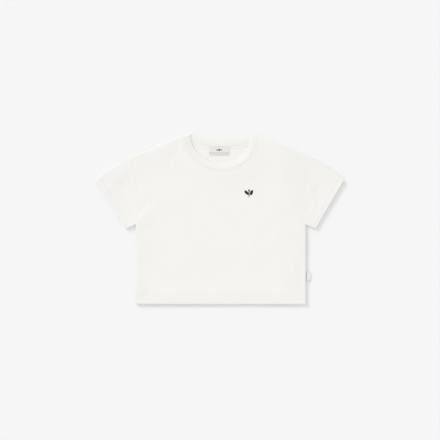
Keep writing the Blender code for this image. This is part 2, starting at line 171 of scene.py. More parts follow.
# Ridge and dip of each seam, as shares of the full ones
NECK_SEAM, SIDE_SEAM = (0.5, 1.0), (0.25, 0.0)
ARMHOLE_ON_BODY, ARMHOLE_ON_SLEEVE = (0.2, 0.6), (0.5, 0.6)
INNER_SHARE = 0.5       # of the outer relief that shows inside
ALLOWANCE_MARGIN, ALLOWANCE_FADE = 0.003, 0.005
ELLIPSE = 2.0           # fullness of the edges on the upper side
CROWN_LEAN = 1.3        # above 1 the sleeve's bulge lies nearer the cuff

# The band's section: places out from its seam, its pinch there and its soft swell
BAND_STOPS = (0.0, 0.0004, 0.0009, 0.0016, 0.0028, 0.0060, 0.0100, 0.0140, 0.0170)
BAND_PINCH, PINCH_WIDTH = 0.00028, 0.0011
BAND_SWELL, SWELL_DEPTH = 0.00018, 0.0185
TIP_POINTS, MAP_POINT = 9, 4
RIB_ROUND = 0.7         # below 1 the grooves are narrower than the ribs
RIB_FADE = 1.5          # ribs are whole to half way round a shoulder fold, then fade
# Cosine of the angle round the neck where the free edge starts to droop and has drooped
DROOP_RIGHT, DROOP_LEFT = (0.10, 0.50), (0.25, 0.85)
PRESS_POWER = 6         # how close to the shoulder folds the press is felt
FOLD_ANGLE = math.radians(88.6)
FOLD_SHARE = 0.985

CLOTH_MAP = "cloth"
WALL_SHARP, RIB_SHARP = 60.0, 70.0          # angles over which an edge is sharp

# Finishes. A pair of tones is the darker and the lighter share of a colour.
SHEEN_ROUGHNESS, SPECULAR = 0.6, 0.25
COTTON_ROUGHNESS = (0.10, 0.86)     # spread with the mottle, and least
MOTTLE = ((14.0, 2.0, 0.6), (420.0, 3.0, 0.4))      # scale, detail and share of each noise
# Twist tones are painted shade: a thread is darker where its twist sinks
MOTTLE_TONES, TWIST_SHADE_TONES = (0.985, 1.012), (0.90, 1.04)
# Weave tones are painted shade: a tape is darker where its weave sinks
WEAVE_SHADE_TONES, GRAIN_TONES = (0.90, 1.05), (0.996, 1.004)
# Painted shade: the darker tone that the outer cloth and the knit's grooves are painted
# towards, and how much of it each gets
PAINTED_SHADE_TONE = 0.86        # of the outer cloth and of the grooves of the knit
OUTER_SHADE_SHARE, GROOVE_SHADE_SHARE = 0.20, 0.10


def a_length(name, description, default):
    return FloatProperty(name=name, description=description, default=default, unit="LENGTH")


def a_place(name, description, default):
    return FloatVectorProperty(name=name, description=description, default=default, size=2,
                               unit="LENGTH")


def a_factor(name, description, default):
    return FloatProperty(name=name, description=description, default=default,
                         subtype="FACTOR", min=0.0, max=1.0)


def an_angle(name, description, degrees):
    return FloatProperty(name=name, description=description,
                         default=math.radians(degrees), unit="ROTATION")


def a_colour(name, description, default):
    return FloatVectorProperty(name=name, description=description, default=default,
                               subtype="COLOR", size=3, min=0.0, max=1.0)


class CutSizes(bpy.types.PropertyGroup):
    """Sizes that a cutter works from. The solids were made with the same values."""

    chest_half: a_length("Half chest", "Centre to side seam", 0.260)
    underarm_h: a_length("Underarm", "Hem to underarm", 0.2441)
    shoulder_h: a_length("Shoulder", "Hem to the top of the armhole seam", 0.4463)
    armhole_scoop: a_length("Armhole scoop", "How far the armhole seam curves in", 0.0135)
    neck_half: a_length("Half neck", "Centre to the collar seam at the shoulder", 0.1126)
    neck_h: a_length("Neck point", "Hem to the collar seam at the shoulder", 0.5145)
    front_drop: a_length("Front neck drop", "Shoulder to the front collar seam", 0.104)
    back_drop: a_length("Back neck drop", "Shoulder to the back collar seam", 0.032)
    cuff_low: a_place("Cuff, under corner", "Plan place of the cuff's under corner",
                      (0.2906, 0.2312))
    cuff_tip_h: a_length("Cuff, upper corner", "Hem to the cuff's upper corner", 0.3800)
    sleeve_crown: a_length("Sleeve crown", "How far the sleeve's top fold bulges", 0.0042)
    hem_depth: a_length("Hem depth", "Depth of the turned hem and cuffs", 0.020)


class ClothSizes(bpy.types.PropertyGroup):
    """Thickness and lie of the cloth."""

    wall: a_length("Jersey", "Thickness of one layer", 0.0012)
    hem_wall: a_length("Turned hem", "Thickness of two pressed layers", 0.0020)
    edge_roll: a_length("Edge roll", "Radius in plan of the side edges, on the upper side",
                        0.0004)
    under_roll: a_length("Under roll", "Radius in plan of the side edges, underneath",
                         0.0060)
    under_fullness: FloatProperty(
        name="Under fullness", description="How round the side edges are underneath: 1 is "
        "straight, 2 is an ellipse", default=1.3, min=1.0, max=4.0)
    mid_lift: a_length("Middle height", "Top of the front panel, well inside the edges",
                       0.0033)
    edge_lift: a_length("Edge height", "Top along hems, seams and neckline", 0.0053)
    edge_fade: a_length("Edge fade", "How far in from an edge the extra height fades",
                        0.040)
    seam_rise: a_factor("Side seam height", "As a share of the garment's height there",
                        0.93)
    seam_gap: a_length("Seam gap", "Between two pieces that are sewn together", 0.00006)
    seam_dip: a_length("Seam dip", "How far cloth dips into a seam", 0.00020)
    seam_ridge: a_length("Seam ridge", "Rise over the seam allowance under the cloth",
                         0.00022)
    seam_allowance: a_length("Seam allowance", "Width of the overlocked allowance", 0.007)
    neck_allowance: a_length("Neck allowance",
                             "Height of the allowance inside the back neck", 0.0007)


class CollarSizes(bpy.types.PropertyGroup):
    """The doubled rib band."""

    band: a_length("Band thickness", "Two layers of rib", 0.0022)
    depth: a_length("Band depth", "Seam to the folded free edge", 0.020)
    free_half: a_length("Free edge half width", "Centre to the free edge at the shoulder",
                        0.0927)
    free_h: a_length("Free edge at the shoulder", "Hem to the free edge at the shoulder",
                     0.5198)
    free_back_drop: a_length("Back free edge drop",
                             "Shoulder to the free edge at centre back", 0.0173)
    free_droop: a_length("Free edge droop", "How far the front free edge lies lower",
                         0.0015)
    taper: a_factor("Band taper", "How much thinner the band is at its pressed fold", 0.38)
    fold_press: a_length("Fold press",
                         "How far the band's free edges are pressed together beside the "
                         "shoulder folds, from above and from below", 0.0005)
    rib_pitch: a_length("Rib pitch", "One rib and one groove", 0.0028)
    rib_relief: a_length("Rib relief", "Height of a rib over its groove", 0.00040)
    rib_steps: IntProperty(
        name="Steps a rib", description="Sections drawn in each rib", default=8)


class SewingSizes(bpy.types.PropertyGroup):
    """Stitches, labels and the embroidered sprig."""

    stitch: a_length("Stitch", "Length of one stitch", 0.0030)
    thread: a_length("Thread", "Radius of the sewing thread", 0.00021)
    hem_row: a_length("Hem stitching", "Edge to the upper stitch row", 0.0185)
    row_gap: a_length("Needle gap", "Between the two rows of a cover stitch", 0.0050)
    neck_row: a_length("Neck stitching", "Collar seam to the first stitch row", 0.0018)
    label_width: a_length("Neck label width", "Along the collar seam", 0.061)
    label_depth: a_length("Neck label depth", "Down from the collar seam", 0.027)
    label_thick: a_length("Neck label thickness", "Woven tape, folded", 0.0010)
    label_x: a_length("Neck label place", "Centre of the label across the garment", -0.0045)
    tab_h: a_length("Side label place", "Hem to the middle of the side label", 0.085)
    tab_tall: a_length("Side label height", "Along the side seam", 0.024)
    tab_out: a_length("Side label reach", "Out of the side seam", 0.016)
    tab_rise: a_factor("Side label rise",
                       "Its place beside the seam, as a share of the garment's height "
                       "there", 0.64)
    tab_sag: a_length("Side label sag", "How far its free edge sinks", 0.0024)
    sprig_place: a_place("Sprig place", "Plan place of the embroidered sprig",
                         (0.0870, 0.3400))


class ClothColours(bpy.types.PropertyGroup):
    """Colours of the finishes."""

    jersey: a_colour("Jersey", "Off-white cotton", (0.905, 0.897, 0.864))
    rib: a_colour("Rib", "Off-white cotton rib", (0.878, 0.869, 0.837))
    thread: a_colour("Thread", "Sewing thread", (0.885, 0.876, 0.845))
    label: a_colour("Neck label", "Pale grey woven tape", (0.815, 0.795, 0.765))
    label_band: a_colour("Neck label band", "Darker band on the label",
                         (0.680, 0.655, 0.620))
    label_mark: a_colour("Label ornament", "Woven lozenges", (0.215, 0.205, 0.190))
    tab: a_colour("Side label", "Pale grey woven tape", (0.86, 0.855, 0.84))
    tab_stripe: a_colour("Side label stripe", "Charcoal woven stripe",
                         (0.045, 0.044, 0.043))
    sprig: a_colour("Sprig", "Near-black embroidery thread", (0.018, 0.019, 0.018))


class StudioLook(bpy.types.PropertyGroup):
    """Floor, light and camera."""

    floor_colour: a_colour("Floor", "Pale paper", (0.880, 0.880, 0.880))
    view_width: a_length("View width", "Width of the floor that the camera sees", 1.347)
    view_centre: a_place("View centre", "Place on the floor under the camera",
                         (-0.0018, -0.0030))
    camera_height: a_length("Camera height", "Camera over the floor", 6.0)
    side_power: FloatProperty(
        name="Side light", description="Strength of the low light", default=1.69)
    side_rise: an_angle("Side light height", "Angle of the low light over the floor", 19)
    side_turn: an_angle("Side light turn",
                        "Angle of the low light from the left towards the neck", 45)
    side_angle: an_angle("Side softness", "Angle that the low light fills", 14)
    fill_strength: FloatProperty(
        name="Fill light", description="Strength of the surrounding light", default=0.872)


def colours():
    """The colours of the finishes, as the panel in the sidebar shows them."""
    return bpy.context.scene.shirt_colours


# ---- Plan and heights ----------------------------------------------------
def segment_gap(x, h, start, end):
    """Distance of plan points from one segment, and their share of the way along it."""
    along = np.subtract(end, start)
    share = ((x - start[0]) * along[0] + (h - start[1]) * along[1]) / (along @ along)
    share = np.clip(share, 0.0, 1.0)
    gap = np.hypot(x - start[0] - share * along[0], h - start[1] - share * along[1])
    return gap, share


def path_gap(x, h, points):
    """Distance of plan points from a path."""
    gaps = [segment_gap(x, h, a, b)[0] for a, b in zip(points[:-1], points[1:])]
    return np.minimum.reduce(gaps)


def smooth(share):
    share = np.clip(share, 0.0, 1.0)
    return share * share * (3.0 - 2.0 * share)


def fold_heights(x, h, rows):
    """Sum of the ridges and troughs of a table of folds."""
    total = np.zeros(np.broadcast(x, h).shape)
    for x0, h0, x1, h1, width, height in rows:
        gap, share = segment_gap(x, h, (x0, h0), (x1, h1))
        fade = FOLD_END + (1.0 - FOLD_END) * np.sin(np.pi * share)
        total += height * fade * np.exp(-(gap / width) ** 2)
    return total


def ripple(x, h):
    """A slow, uneven wave of the cloth, the same each run."""
    random = np.random.default_rng(RIPPLE_SEED)
    total = np.zeros(np.broadcast(x, h).shape)
    for _ in range(RIPPLE_WAVES):
        turn, phase = random.uniform(0.0, math.tau, 2)
        number = math.tau / random.uniform(*RIPPLE_LENGTHS)
        total += np.sin(number * (x * math.cos(turn) + h * math.sin(turn)) + phase)
    return RIPPLE_HEIGHT * total / math.sqrt(RIPPLE_WAVES)


def fine_folds(x, h):
    """The fine folds and the ripple of the upper side."""
    return fold_heights(x, h, FINE_FOLDS) + ripple(x, h)


class Pattern:
    """The garment's outline and heights, worked out from the values in the panel."""

    ARMHOLE_LOW = 0.8
    BACK_CURVE = 2.6
    BACK_CORNER = 0.75
    CURVE_POINTS = 25

    def __init__(self):
        scene = bpy.context.scene
        self.cut, self.cloth = scene.shirt_cut, scene.shirt_cloth
        self.collar, self.sewing = scene.shirt_collar, scene.shirt_sewing
        cut = self.cut
        self.shoulder = (SHOULDER_HALF, cut.shoulder_h)
        self.neck_point = (cut.neck_half, cut.neck_h)
        self.underarm = (cut.chest_half, cut.underarm_h)
        self.cuff_low = tuple(cut.cuff_low)
        self.cuff_tip = (CUFF_TIP_X, cut.cuff_tip_h)
        self.sleeve_reach = math.dist(self.cuff_tip, self.shoulder)
        angles = np.linspace(math.pi / 2, 0.0, self.CURVE_POINTS)
        self.front_neckline = [(cut.neck_half * math.sin(a), cut.neck_h
                                - cut.front_drop * math.cos(a)) for a in angles]
        places = np.linspace(cut.neck_half, 0.0, self.CURVE_POINTS)
        self.back_neckline = [(x, float(self.back_seam_h(x))) for x in places]
        heights = np.linspace(cut.underarm_h, cut.shoulder_h, self.CURVE_POINTS)
        self.armhole = [(float(self.half_width(h)), h) for h in heights]
        self.outline = [(0.0, 0.0), (cut.chest_half, 0.0), self.underarm, self.cuff_low,
                        self.cuff_tip, self.shoulder] + self.front_neckline

    def half_width(self, h):
        cut = self.cut
        t = np.clip((h - cut.underarm_h) / (cut.shoulder_h - cut.underarm_h), 0.0, 1.0)
        straight = cut.chest_half + t * (SHOULDER_HALF - cut.chest_half)
        return straight - cut.armhole_scoop * np.sin(np.pi * t ** self.ARMHOLE_LOW)

    def front_seam_h(self, x):
        share = np.clip(np.abs(x) / self.cut.neck_half, 0.0, 1.0)
        return self.cut.neck_h - self.cut.front_drop * np.sqrt(1.0 - share * share)

    def back_seam_h(self, x):
        share = np.clip(np.abs(x) / self.cut.neck_half, 0.0, 1.0)
        lift = (1.0 - share ** self.BACK_CURVE) ** self.BACK_CORNER
        return self.cut.neck_h - self.cut.back_drop * lift

    def top_h(self, x, neck_seam_h):
        """Height of a body panel's upper edge: its neckline, then the shoulder seam."""
        cut = self.cut
        t = (np.abs(x) - cut.neck_half) / (SHOULDER_HALF - cut.neck_half)
        shoulder = cut.neck_h + t * (cut.shoulder_h - cut.neck_h)
        return np.where(t < 0.0, neck_seam_h(x), shoulder)

    def base_z(self, x, h):
        """Top of the upper layer before seams, stitching and rolled edges: the solids'."""
        cloth = self.cloth
        gap = path_gap(np.abs(x), h, self.outline)
        rise = (cloth.edge_lift - cloth.mid_lift) * np.exp(-(gap / cloth.edge_fade) ** 2)
        return cloth.mid_lift + rise + fold_heights(x, h, MAIN_FOLDS)

    def seam_relief(self, gap, ridge=1.0, dip=1.0):
        """Dip into a seam, and the ridge over its allowance, at a distance from it."""
        cloth = self.cloth
        groove = cloth.seam_dip * np.exp(-(gap / GROOVE_WIDTH) ** 2)
        inside = smooth((gap - RIDGE_START) / RIDGE_RUN)
        outside = smooth((cloth.seam_allowance - gap) / RIDGE_FADE)
        return ridge * cloth.seam_ridge * inside * outside - dip * groove

    def stitch_dip(self, gap):
        """The groove that a row of stitches pulls into the cloth."""
        return -STITCH_DIP * np.exp(-(gap / GROOVE_WIDTH) ** 2)

    def hem_rows(self):
        return (self.sewing.hem_row, self.sewing.hem_row - self.sewing.row_gap)

    def neck_rows(self):
        return (self.sewing.neck_row, self.sewing.neck_row + self.sewing.row_gap)

    def hem_relief(self, gap, puff=HEM_PUFF, step=HEM_STEP):
        """Turned hem: soft between its edge and the stitching, and a step where it ends."""
        relief = sum(self.stitch_dip(gap - row) for row in self.hem_rows())
        depth = self.cut.hem_depth
        swell = puff * np.sin(np.pi * np.clip(gap / self.hem_rows()[1], 0.0, 1.0))
        fall = smooth((gap - depth) / STEP_RUN)
        fall = fall * smooth((depth + STEP_FADE - gap) / STEP_FADE)
        return relief + swell - step * fall

    def wall(self, gap):
        """Thickness of the jersey at a distance from a turned edge."""
        turned = smooth((self.cut.hem_depth + TURN_RUN / 2 - gap) / TURN_RUN)
        return self.cloth.wall + (self.cloth.hem_wall - self.cloth.wall) * turned

    def body_relief(self, x, h, neckline):
        """Fine relief of a body panel's outer side, up out of the garment."""
        neck_gap = path_gap(np.abs(x), h, neckline)
        relief = self.seam_relief(neck_gap, *NECK_SEAM)
        relief += sum(self.stitch_dip(neck_gap - row) for row in self.neck_rows())
        relief += self.seam_relief(path_gap(np.abs(x), h, self.armhole), *ARMHOLE_ON_BODY)
        return relief + self.hem_relief(h)


def rolled(seam_z, flat_z, share, fullness):
    """Height on a rounded edge: seam_z at its seam, flat_z past it. A fullness of 2 is a
    quarter of an ellipse, and a lower one is flatter."""
    share = np.clip(share, 0.0, 1.0)
    turn = (1.0 - (1.0 - share) ** fullness) ** (1.0 / fullness)
    return seam_z + (flat_z - seam_z) * turn


def rounded(share, least):
    """Thickness near a rounded edge as a share of the whole, least at the edge itself."""
    share = np.clip(share, 0.0, 1.0)
    return least + (1.0 - least) * np.sqrt(1.0 - (1.0 - share) ** 2)


def round_hem(outer_z, inner_z, gap):
    """Both sides of a turned edge, which meet at the middle of the wall at its fold."""
    turn = rounded(gap / HEM_RADIUS, HEM_LEAST)
    middle = (outer_z + inner_z) / 2
    return middle + (outer_z - middle) * turn, middle + (inner_z - middle) * turn


def world(x, h, z):
    """Points of the model from plan places and heights over the resting surface."""
    return np.stack(np.broadcast_arrays(x, np.asarray(h) + HEM_Y, z), axis=-1)


# ---- Mesh helpers --------------------------------------------------------
def link_piece(name, data):
    """Puts a mesh in the scene as a piece that rides on the one body."""
    piece = bpy.data.objects.new(name, data)
    bpy.context.scene.collection.objects.link(piece)
    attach(piece, BODY)
    return piece


def finish_piece(name, points, faces, material, uv, sharp=WALL_SHARP):
    """A mesh object from arrays, its faces turned outwards, riding on the one body."""
    volume = 0.0
    for k in range(2, faces.shape[1]):
        first, second, third = (points[faces[:, corner]] for corner in (0, k - 1, k))
        volume += np.einsum("ij,ij->i", first, np.cross(second, third)).sum()
    if volume < 0.0:
        faces = faces[:, ::-1]
    data = bpy.data.meshes.new(name)
    data.from_pydata(points.tolist(), [], faces.tolist())
    layer = data.uv_layers.new(name=CLOTH_MAP)
    layer.data.foreach_set("uv", uv[faces.ravel()].astype(np.float32).ravel())
    data.shade_smooth()
    data.set_sharp_from_angle(angle=math.radians(sharp))
    data.materials.append(material)
    return link_piece(name, data)


def wall_faces(columns, rows, closed):
    """Quads of a wall whose outer and inner sides are grids of columns and rows."""
    count = columns * rows
    across = np.arange(columns if closed else columns - 1)
    up = np.arange(rows - 1)
    after = (across + 1) % columns
    i, j = np.meshgrid(across, up, indexing="ij")
    k = np.meshgrid(after, up, indexing="ij")[0]
    outer = np.stack([i * rows + j, k * rows + j, k * rows + j + 1, i * rows + j + 1], -1)
    outer = outer.reshape(-1, 4)
    faces = [outer, outer[:, ::-1] + count]
    low = np.stack([across * rows, across * rows + count, after * rows + count,
                    after * rows], -1)
    faces += [low, low[:, ::-1] + rows - 1]
    if not closed:
        side = np.stack([up, up + 1, up + 1 + count, up + count], -1)
        faces += [side, side[:, ::-1] + (columns - 1) * rows]
    return np.concatenate(faces)


def make_wall(name, outer, inner, closed, plan_uv, material):
    """A closed wall from grids of outer and inner points, each columns x rows x 3."""
    columns, rows = outer.shape[:2]
    points = np.concatenate([outer.reshape(-1, 3), inner.reshape(-1, 3)])
    uv = np.concatenate([plan_uv.reshape(-1, 2)] * 2)
    faces = wall_faces(columns, rows, closed)
    return finish_piece(name, points, faces, material, uv)


def stitch_shape():
    """Points and faces of one stitch, from -1 to 1 along X with radius 1: a ball whose
    ends are filled out until it is a short fat thread. It is modelled once and copied."""
    bpy.ops.object.select_all(action="DESELECT")
    bpy.ops.mesh.primitive_uv_sphere_add(segments=STITCH_SIDES, ring_count=STITCH_RINGS,
                                         radius=1.0, rotation=(0.0, math.pi / 2, 0.0))
    model = bpy.context.object
    bpy.ops.object.transform_apply(location=False, rotation=True, scale=False)
    for place, fullness in STITCH_FULLNESS:
        for ring in (-place, place):
            bpy.ops.object.mode_set(mode="EDIT")
            bpy.ops.mesh.select_all(action="DESELECT")
            bpy.ops.object.mode_set(mode="OBJECT")
            for vertex in model.data.vertices:
                vertex.select = abs(vertex.co.x - ring) < RING_REACH
            bpy.ops.object.mode_set(mode="EDIT")
            bpy.ops.transform.resize(value=(1.0, fullness, fullness))
            bpy.ops.object.mode_set(mode="OBJECT")
    data = model.data
    points = np.array([vertex.co[:] for vertex in data.vertices])
    faces = [list(face.vertices) for face in data.polygons]
    bpy.data.objects.remove(model)
    bpy.data.meshes.remove(data)
    return points, faces


def make_threads(name, starts, ends, radius, bow, material, slot):
    """Copies of the one stitch from starts to ends, bowed up, as one mesh."""
    shape, faces = stitch_shape()
    starts, ends = np.asarray(starts, float), np.asarray(ends, float)
    along = ends - starts
    half = np.linalg.norm(along, axis=1, keepdims=True) / 2
    along = along / (2 * half)
    aside = np.cross((0.0, 0.0, 1.0), along)
    aside /= np.linalg.norm(aside, axis=1, keepdims=True)
    above = np.cross(along, aside)
    points = ((starts + ends)[:, None] / 2
              + shape[None, :, :1] * (along * half)[:, None]
              + shape[None, :, 1:2] * radius * aside[:, None]
              + shape[None, :, 2:] * radius * above[:, None])
    points[..., 2] += bow * (1.0 - shape[None, :, 0] ** 2)
    size = len(shape)
    every = [[corner + k * size for corner in face]
             for k in range(len(starts)) for face in faces]
    data = bpy.data.meshes.new(name)
    data.from_pydata(points.reshape(-1, 3).tolist(), [], every)
    data.shade_smooth()
    data.materials.append(material)
    return link_piece(name, data)


def stitches_along(path, length):
    """Starts and ends of stitches along a path of points, spaced evenly."""
    steps = np.linalg.norm(np.diff(path, axis=0), axis=1)
    run = np.concatenate([[0.0], np.cumsum(steps)])
    count = max(1, round(run[-1] / length))
    pitch = run[-1] / count
    marks = np.arange(count) * run[-1] / count
    shifts = [pitch * (1.0 + side * STITCH_SHARE) / 2 for side in (-1, 1)]
    return [np.stack([np.interp(marks + shift, run, path[:, k]) for k in range(3)], -1)
            for shift in shifts]


# ---- Materials -----------------------------------------------------------
class Nodes:
    """Short ways to add and join the nodes of one tree."""

    def __init__(self, tree):
        self.tree = tree

    def add(self, kind, **values):
        node = self.tree.nodes.new(kind)
        for key, value in values.items():
            setattr(node, key, value)
        return node

    def feed(self, socket, value):
        """Joins an output to a socket, or sets its value."""
        if isinstance(value, bpy.types.NodeSocket):
            self.tree.links.new(value, socket)
        else:
            socket.default_value = value

    def math(self, operation, *values, clamp=False):
        node = self.add("ShaderNodeMath", operation=operation, use_clamp=clamp)
        for socket, value in zip(node.inputs, values):
            self.feed(socket, value)
        return node.outputs[0]

    def mix(self, share, first, second, blend="MIX"):
        node = self.add("ShaderNodeMix", data_type="RGBA", blend_type=blend)
        self.feed(node.inputs["Factor"], share)
        self.feed(node.inputs["A"], first)
        self.feed(node.inputs["B"], second)
        return node.outputs["Result"]

    def noise(self, vector, scale, detail):
        node = self.add("ShaderNodeTexNoise")
        self.feed(node.inputs["Vector"], vector)
        self.feed(node.inputs["Scale"], scale)
        self.feed(node.inputs["Detail"], detail)
        return node.outputs["Fac"]

    def place(self):
        """Object coordinates."""
        return self.add("ShaderNodeTexCoord").outputs["Object"]

    def cloth_map(self):
        """The piece's own map, which runs along and across the cloth."""
        return self.add("ShaderNodeUVMap", uv_map=CLOTH_MAP).outputs[0]

    def split(self, vector):
        """The X and Y of a vector."""
        node = self.add("ShaderNodeSeparateXYZ")
        self.feed(node.inputs[0], vector)
        return node.outputs["X"], node.outputs["Y"]

    def group(self, maker, **values):
        """Places the group that a maker builds, made the first time it is asked for."""
        name = GROUP_NAMES[maker]
        node = self.add("ShaderNodeGroup")
        node.node_tree = bpy.data.node_groups.get(name) or maker(name)
        for title, value in values.items():
            self.feed(node.inputs[title], value)
        return node

    def bump(self, shader, height, strength, distance):
        node = self.add("ShaderNodeBump")
        self.feed(node.inputs["Strength"], strength)
        self.feed(node.inputs["Distance"], distance)
        self.feed(node.inputs["Height"], height)
        self.feed(shader.inputs["Normal"], node.outputs["Normal"])


def new_group(name, inputs, outputs):
    """An empty shader group with a Vector input: the other inputs are names with their
    defaults, and all outputs are numbers."""
    tree = bpy.data.node_groups.new(name, "ShaderNodeTree")
    tree.interface.new_socket("Vector", in_out="INPUT", socket_type="NodeSocketVector")
    for title, default in inputs.items():
        socket = tree.interface.new_socket(title, in_out="INPUT",
                                           socket_type="NodeSocketFloat")
        socket.default_value = default
    for title in outputs:
        tree.interface.new_socket(title, in_out="OUTPUT", socket_type="NodeSocketFloat")
    nodes = Nodes(tree)
    source, sink = nodes.add("NodeGroupInput"), nodes.add("NodeGroupOutput")
    return nodes, source.outputs, sink.inputs


def knit_group(name):
    """Plain knit: columns of small Vs. Height drives bump, Groove the shading."""
    slant, legs = 1.3, (0.65, 0.35)
    nodes, source, sink = new_group(name, {"Wale": 0.0010, "Course": 0.0008},
                                    ("Height", "Groove"))
    x, y = nodes.split(source["Vector"])
    across = nodes.math("DIVIDE", x, source["Wale"])
    up = nodes.math("DIVIDE", y, source["Course"])
    column = nodes.math("PINGPONG", across, 0.5)
    leg = nodes.math("SINE", nodes.math("MULTIPLY", column, math.tau))
    turn = nodes.math("ADD", up, nodes.math("MULTIPLY", column, slant))
    yarn = nodes.math("ABSOLUTE", nodes.math("SINE", nodes.math("MULTIPLY", turn, math.pi)))
    lifted = nodes.math("MULTIPLY_ADD", yarn, *legs)
    height = nodes.math("MULTIPLY", nodes.math("ABSOLUTE", leg), lifted)
    nodes.feed(sink["Height"], height)
    nodes.feed(sink["Groove"], nodes.math("SUBTRACT", 1.0, height, clamp=True))
    return nodes.tree


def tape_group(name):
    """Woven tape: fine warp and weft crossing over and under."""
    nodes, source, sink = new_group(name, {"Pitch": 0.0005}, ("Height",))
    waves = []
    for axis in nodes.split(source["Vector"]):
        place = nodes.math("DIVIDE", axis, source["Pitch"])
        waves.append(nodes.math("SINE", nodes.math("MULTIPLY", place, math.pi)))
    product = nodes.math("MULTIPLY", *waves)
    nodes.feed(sink["Height"], nodes.math("MULTIPLY_ADD", product, 0.5, 0.5))
    return nodes.tree


def wear_group(name):
    """Uneven dye and soft fuzz: a slow mottle with a finer one in it."""
    nodes, source, sink = new_group(name, {}, ("Mottle",))
    parts = [nodes.math("MULTIPLY", nodes.noise(source["Vector"], scale, detail), share)
             for scale, detail, share in MOTTLE]
    nodes.feed(sink["Mottle"], nodes.math("ADD", *parts))
    return nodes.tree


def outer_shade_group(name):
    """A mask that grows from the middle of the garment out to the sleeves and the hem,
    where painted shade makes the cloth a little greyer."""
    sleeve_spread, hem_spread, hem_share = 0.040, 0.018, 0.85
    nodes, source, sink = new_group(
        name, {"Middle": -0.055, "Sleeve": 0.255, "Hem": 0.222}, ("Mask",))
    x, y = nodes.split(source["Vector"])

    def past(place, edge, spread):
        node = nodes.add("ShaderNodeMapRange", interpolation_type="SMOOTHSTEP")
        nodes.feed(node.inputs["Value"], place)
        nodes.feed(node.inputs["From Min"], nodes.math("SUBTRACT", source[edge], spread))
        nodes.feed(node.inputs["From Max"], nodes.math("ADD", source[edge], spread))
        return node.outputs["Result"]

    aside = nodes.math("ABSOLUTE", nodes.math("SUBTRACT", x, source["Middle"]))
    low = past(nodes.math("MULTIPLY", y, -1.0), "Hem", hem_spread)
    hem = nodes.math("MULTIPLY", low, hem_share)
    sleeve = past(aside, "Sleeve", sleeve_spread)
    nodes.feed(sink["Mask"], nodes.math("MAXIMUM", sleeve, hem))
    return nodes.tree


GROUP_NAMES = {knit_group: "plain_knit", tape_group: "woven_tape",
               wear_group: "cotton_mottle", outer_shade_group: "painted_outer_shade"}


def new_material(name, colour, roughness, sheen):
    material = bpy.data.materials.new(name)
    material.use_nodes = True
    material.diffuse_color = (*colour, 1.0)
    nodes = Nodes(material.node_tree)
    shader = material.node_tree.nodes["Principled BSDF"]
    for title, value in (("Base Color", (*colour, 1.0)), ("Roughness", roughness),
                         ("Sheen Weight", sheen), ("Sheen Roughness", SHEEN_ROUGHNESS),
                         ("Specular IOR Level", SPECULAR)):
        nodes.feed(shader.inputs[title], value)
    return material, nodes, shader


def toned(colour, share):
    """A colour made darker, or with a share over 1 lighter."""
    return (*[channel * share for channel in colour], 1.0)


def two_tones(nodes, share, colour, tones):
    """Goes from the darker to the lighter tone of a colour."""
    return nodes.mix(share, *[toned(colour, tone) for tone in tones])


def cotton_material(name, colour, wale, course, depth):
    """Knitted cotton: mottled colour, Vs in the bump, painted shade between them and
    painted shade towards the sleeves and hem.
    """
    material, nodes, shader = new_material(name, colour, roughness=0.92, sheen=0.18)
    knit = nodes.group(knit_group, Vector=nodes.cloth_map(), Wale=wale, Course=course)
    place = nodes.place()
    mottle = nodes.group(wear_group, Vector=place).outputs["Mottle"]
    # Painted shade: a mask that greys the cloth towards the sleeves and the hem
    outer = nodes.group(outer_shade_group, Vector=place).outputs["Mask"]
    tone = two_tones(nodes, mottle, colour, MOTTLE_TONES)
    # Painted shade: the darker tone is mixed in towards the sleeves and hem, and into the
    # knit's grooves
    for mask, share in ((outer, OUTER_SHADE_SHARE), (knit.outputs["Groove"], GROOVE_SHADE_SHARE)):
        tone = nodes.mix(nodes.math("MULTIPLY", mask, share), tone,
                         toned(colour, PAINTED_SHADE_TONE))
    nodes.feed(shader.inputs["Base Color"], tone)
    nodes.feed(shader.inputs["Roughness"],
               nodes.math("MULTIPLY_ADD", mottle, *COTTON_ROUGHNESS))
    nodes.bump(shader, knit.outputs["Height"], strength=0.55, distance=depth)
    return material


def thread_material(name, colour, roughness):
    """Twisted thread: a slanting twist in bump, with painted shade along the twist in its
    tone.
    """
    material, nodes, shader = new_material(name, colour, roughness, sheen=0.10)
    wave = nodes.add("ShaderNodeTexWave", bands_direction="DIAGONAL")
    nodes.feed(wave.inputs["Vector"], nodes.place())
    nodes.feed(wave.inputs["Scale"], 900.0)
    twist = wave.outputs["Fac"]
    # Painted shade: the thread is darker in the grooves of its twist
    nodes.feed(shader.inputs["Base Color"], two_tones(nodes, twist, colour, TWIST_SHADE_TONES))
    nodes.bump(shader, twist, strength=0.4, distance=0.0001)
    return material


def tape_material(name, colour, pitch, band=None):
    """Woven tape of one colour. A band is its colour and two heights of the tape's map
    between which it lies."""
    material, nodes, shader = new_material(name, colour, roughness=0.62, sheen=0.12)
    thread_map = nodes.cloth_map()
    weave = nodes.group(tape_group, Vector=thread_map, Pitch=pitch).outputs["Height"]
    # Painted shade: the tape is darker where the weave sinks and lighter where it rises
    tone = two_tones(nodes, weave, colour, WEAVE_SHADE_TONES)
    if band:
        band_colour, low, high = band
        up = nodes.split(thread_map)[1]
        inside = nodes.math("MULTIPLY", nodes.math("GREATER_THAN", up, low),
                            nodes.math("LESS_THAN", up, high))
        ratio = [banded / plain for banded, plain in zip(band_colour, colour)]
        tone = nodes.mix(inside, tone, (*ratio, 1.0), "MULTIPLY")
    nodes.feed(shader.inputs["Base Color"], tone)
    nodes.bump(shader, weave, strength=0.5, distance=0.00012)
    return material


def jersey_material():
    name = "cotton_jersey"
    return bpy.data.materials.get(name) or cotton_material(
        name, colours().jersey, wale=0.00105, course=0.00085, depth=0.00025)


def sewing_thread():
    name = "sewing_thread"
    return bpy.data.materials.get(name) or thread_material(
        name, colours().thread, roughness=0.55)


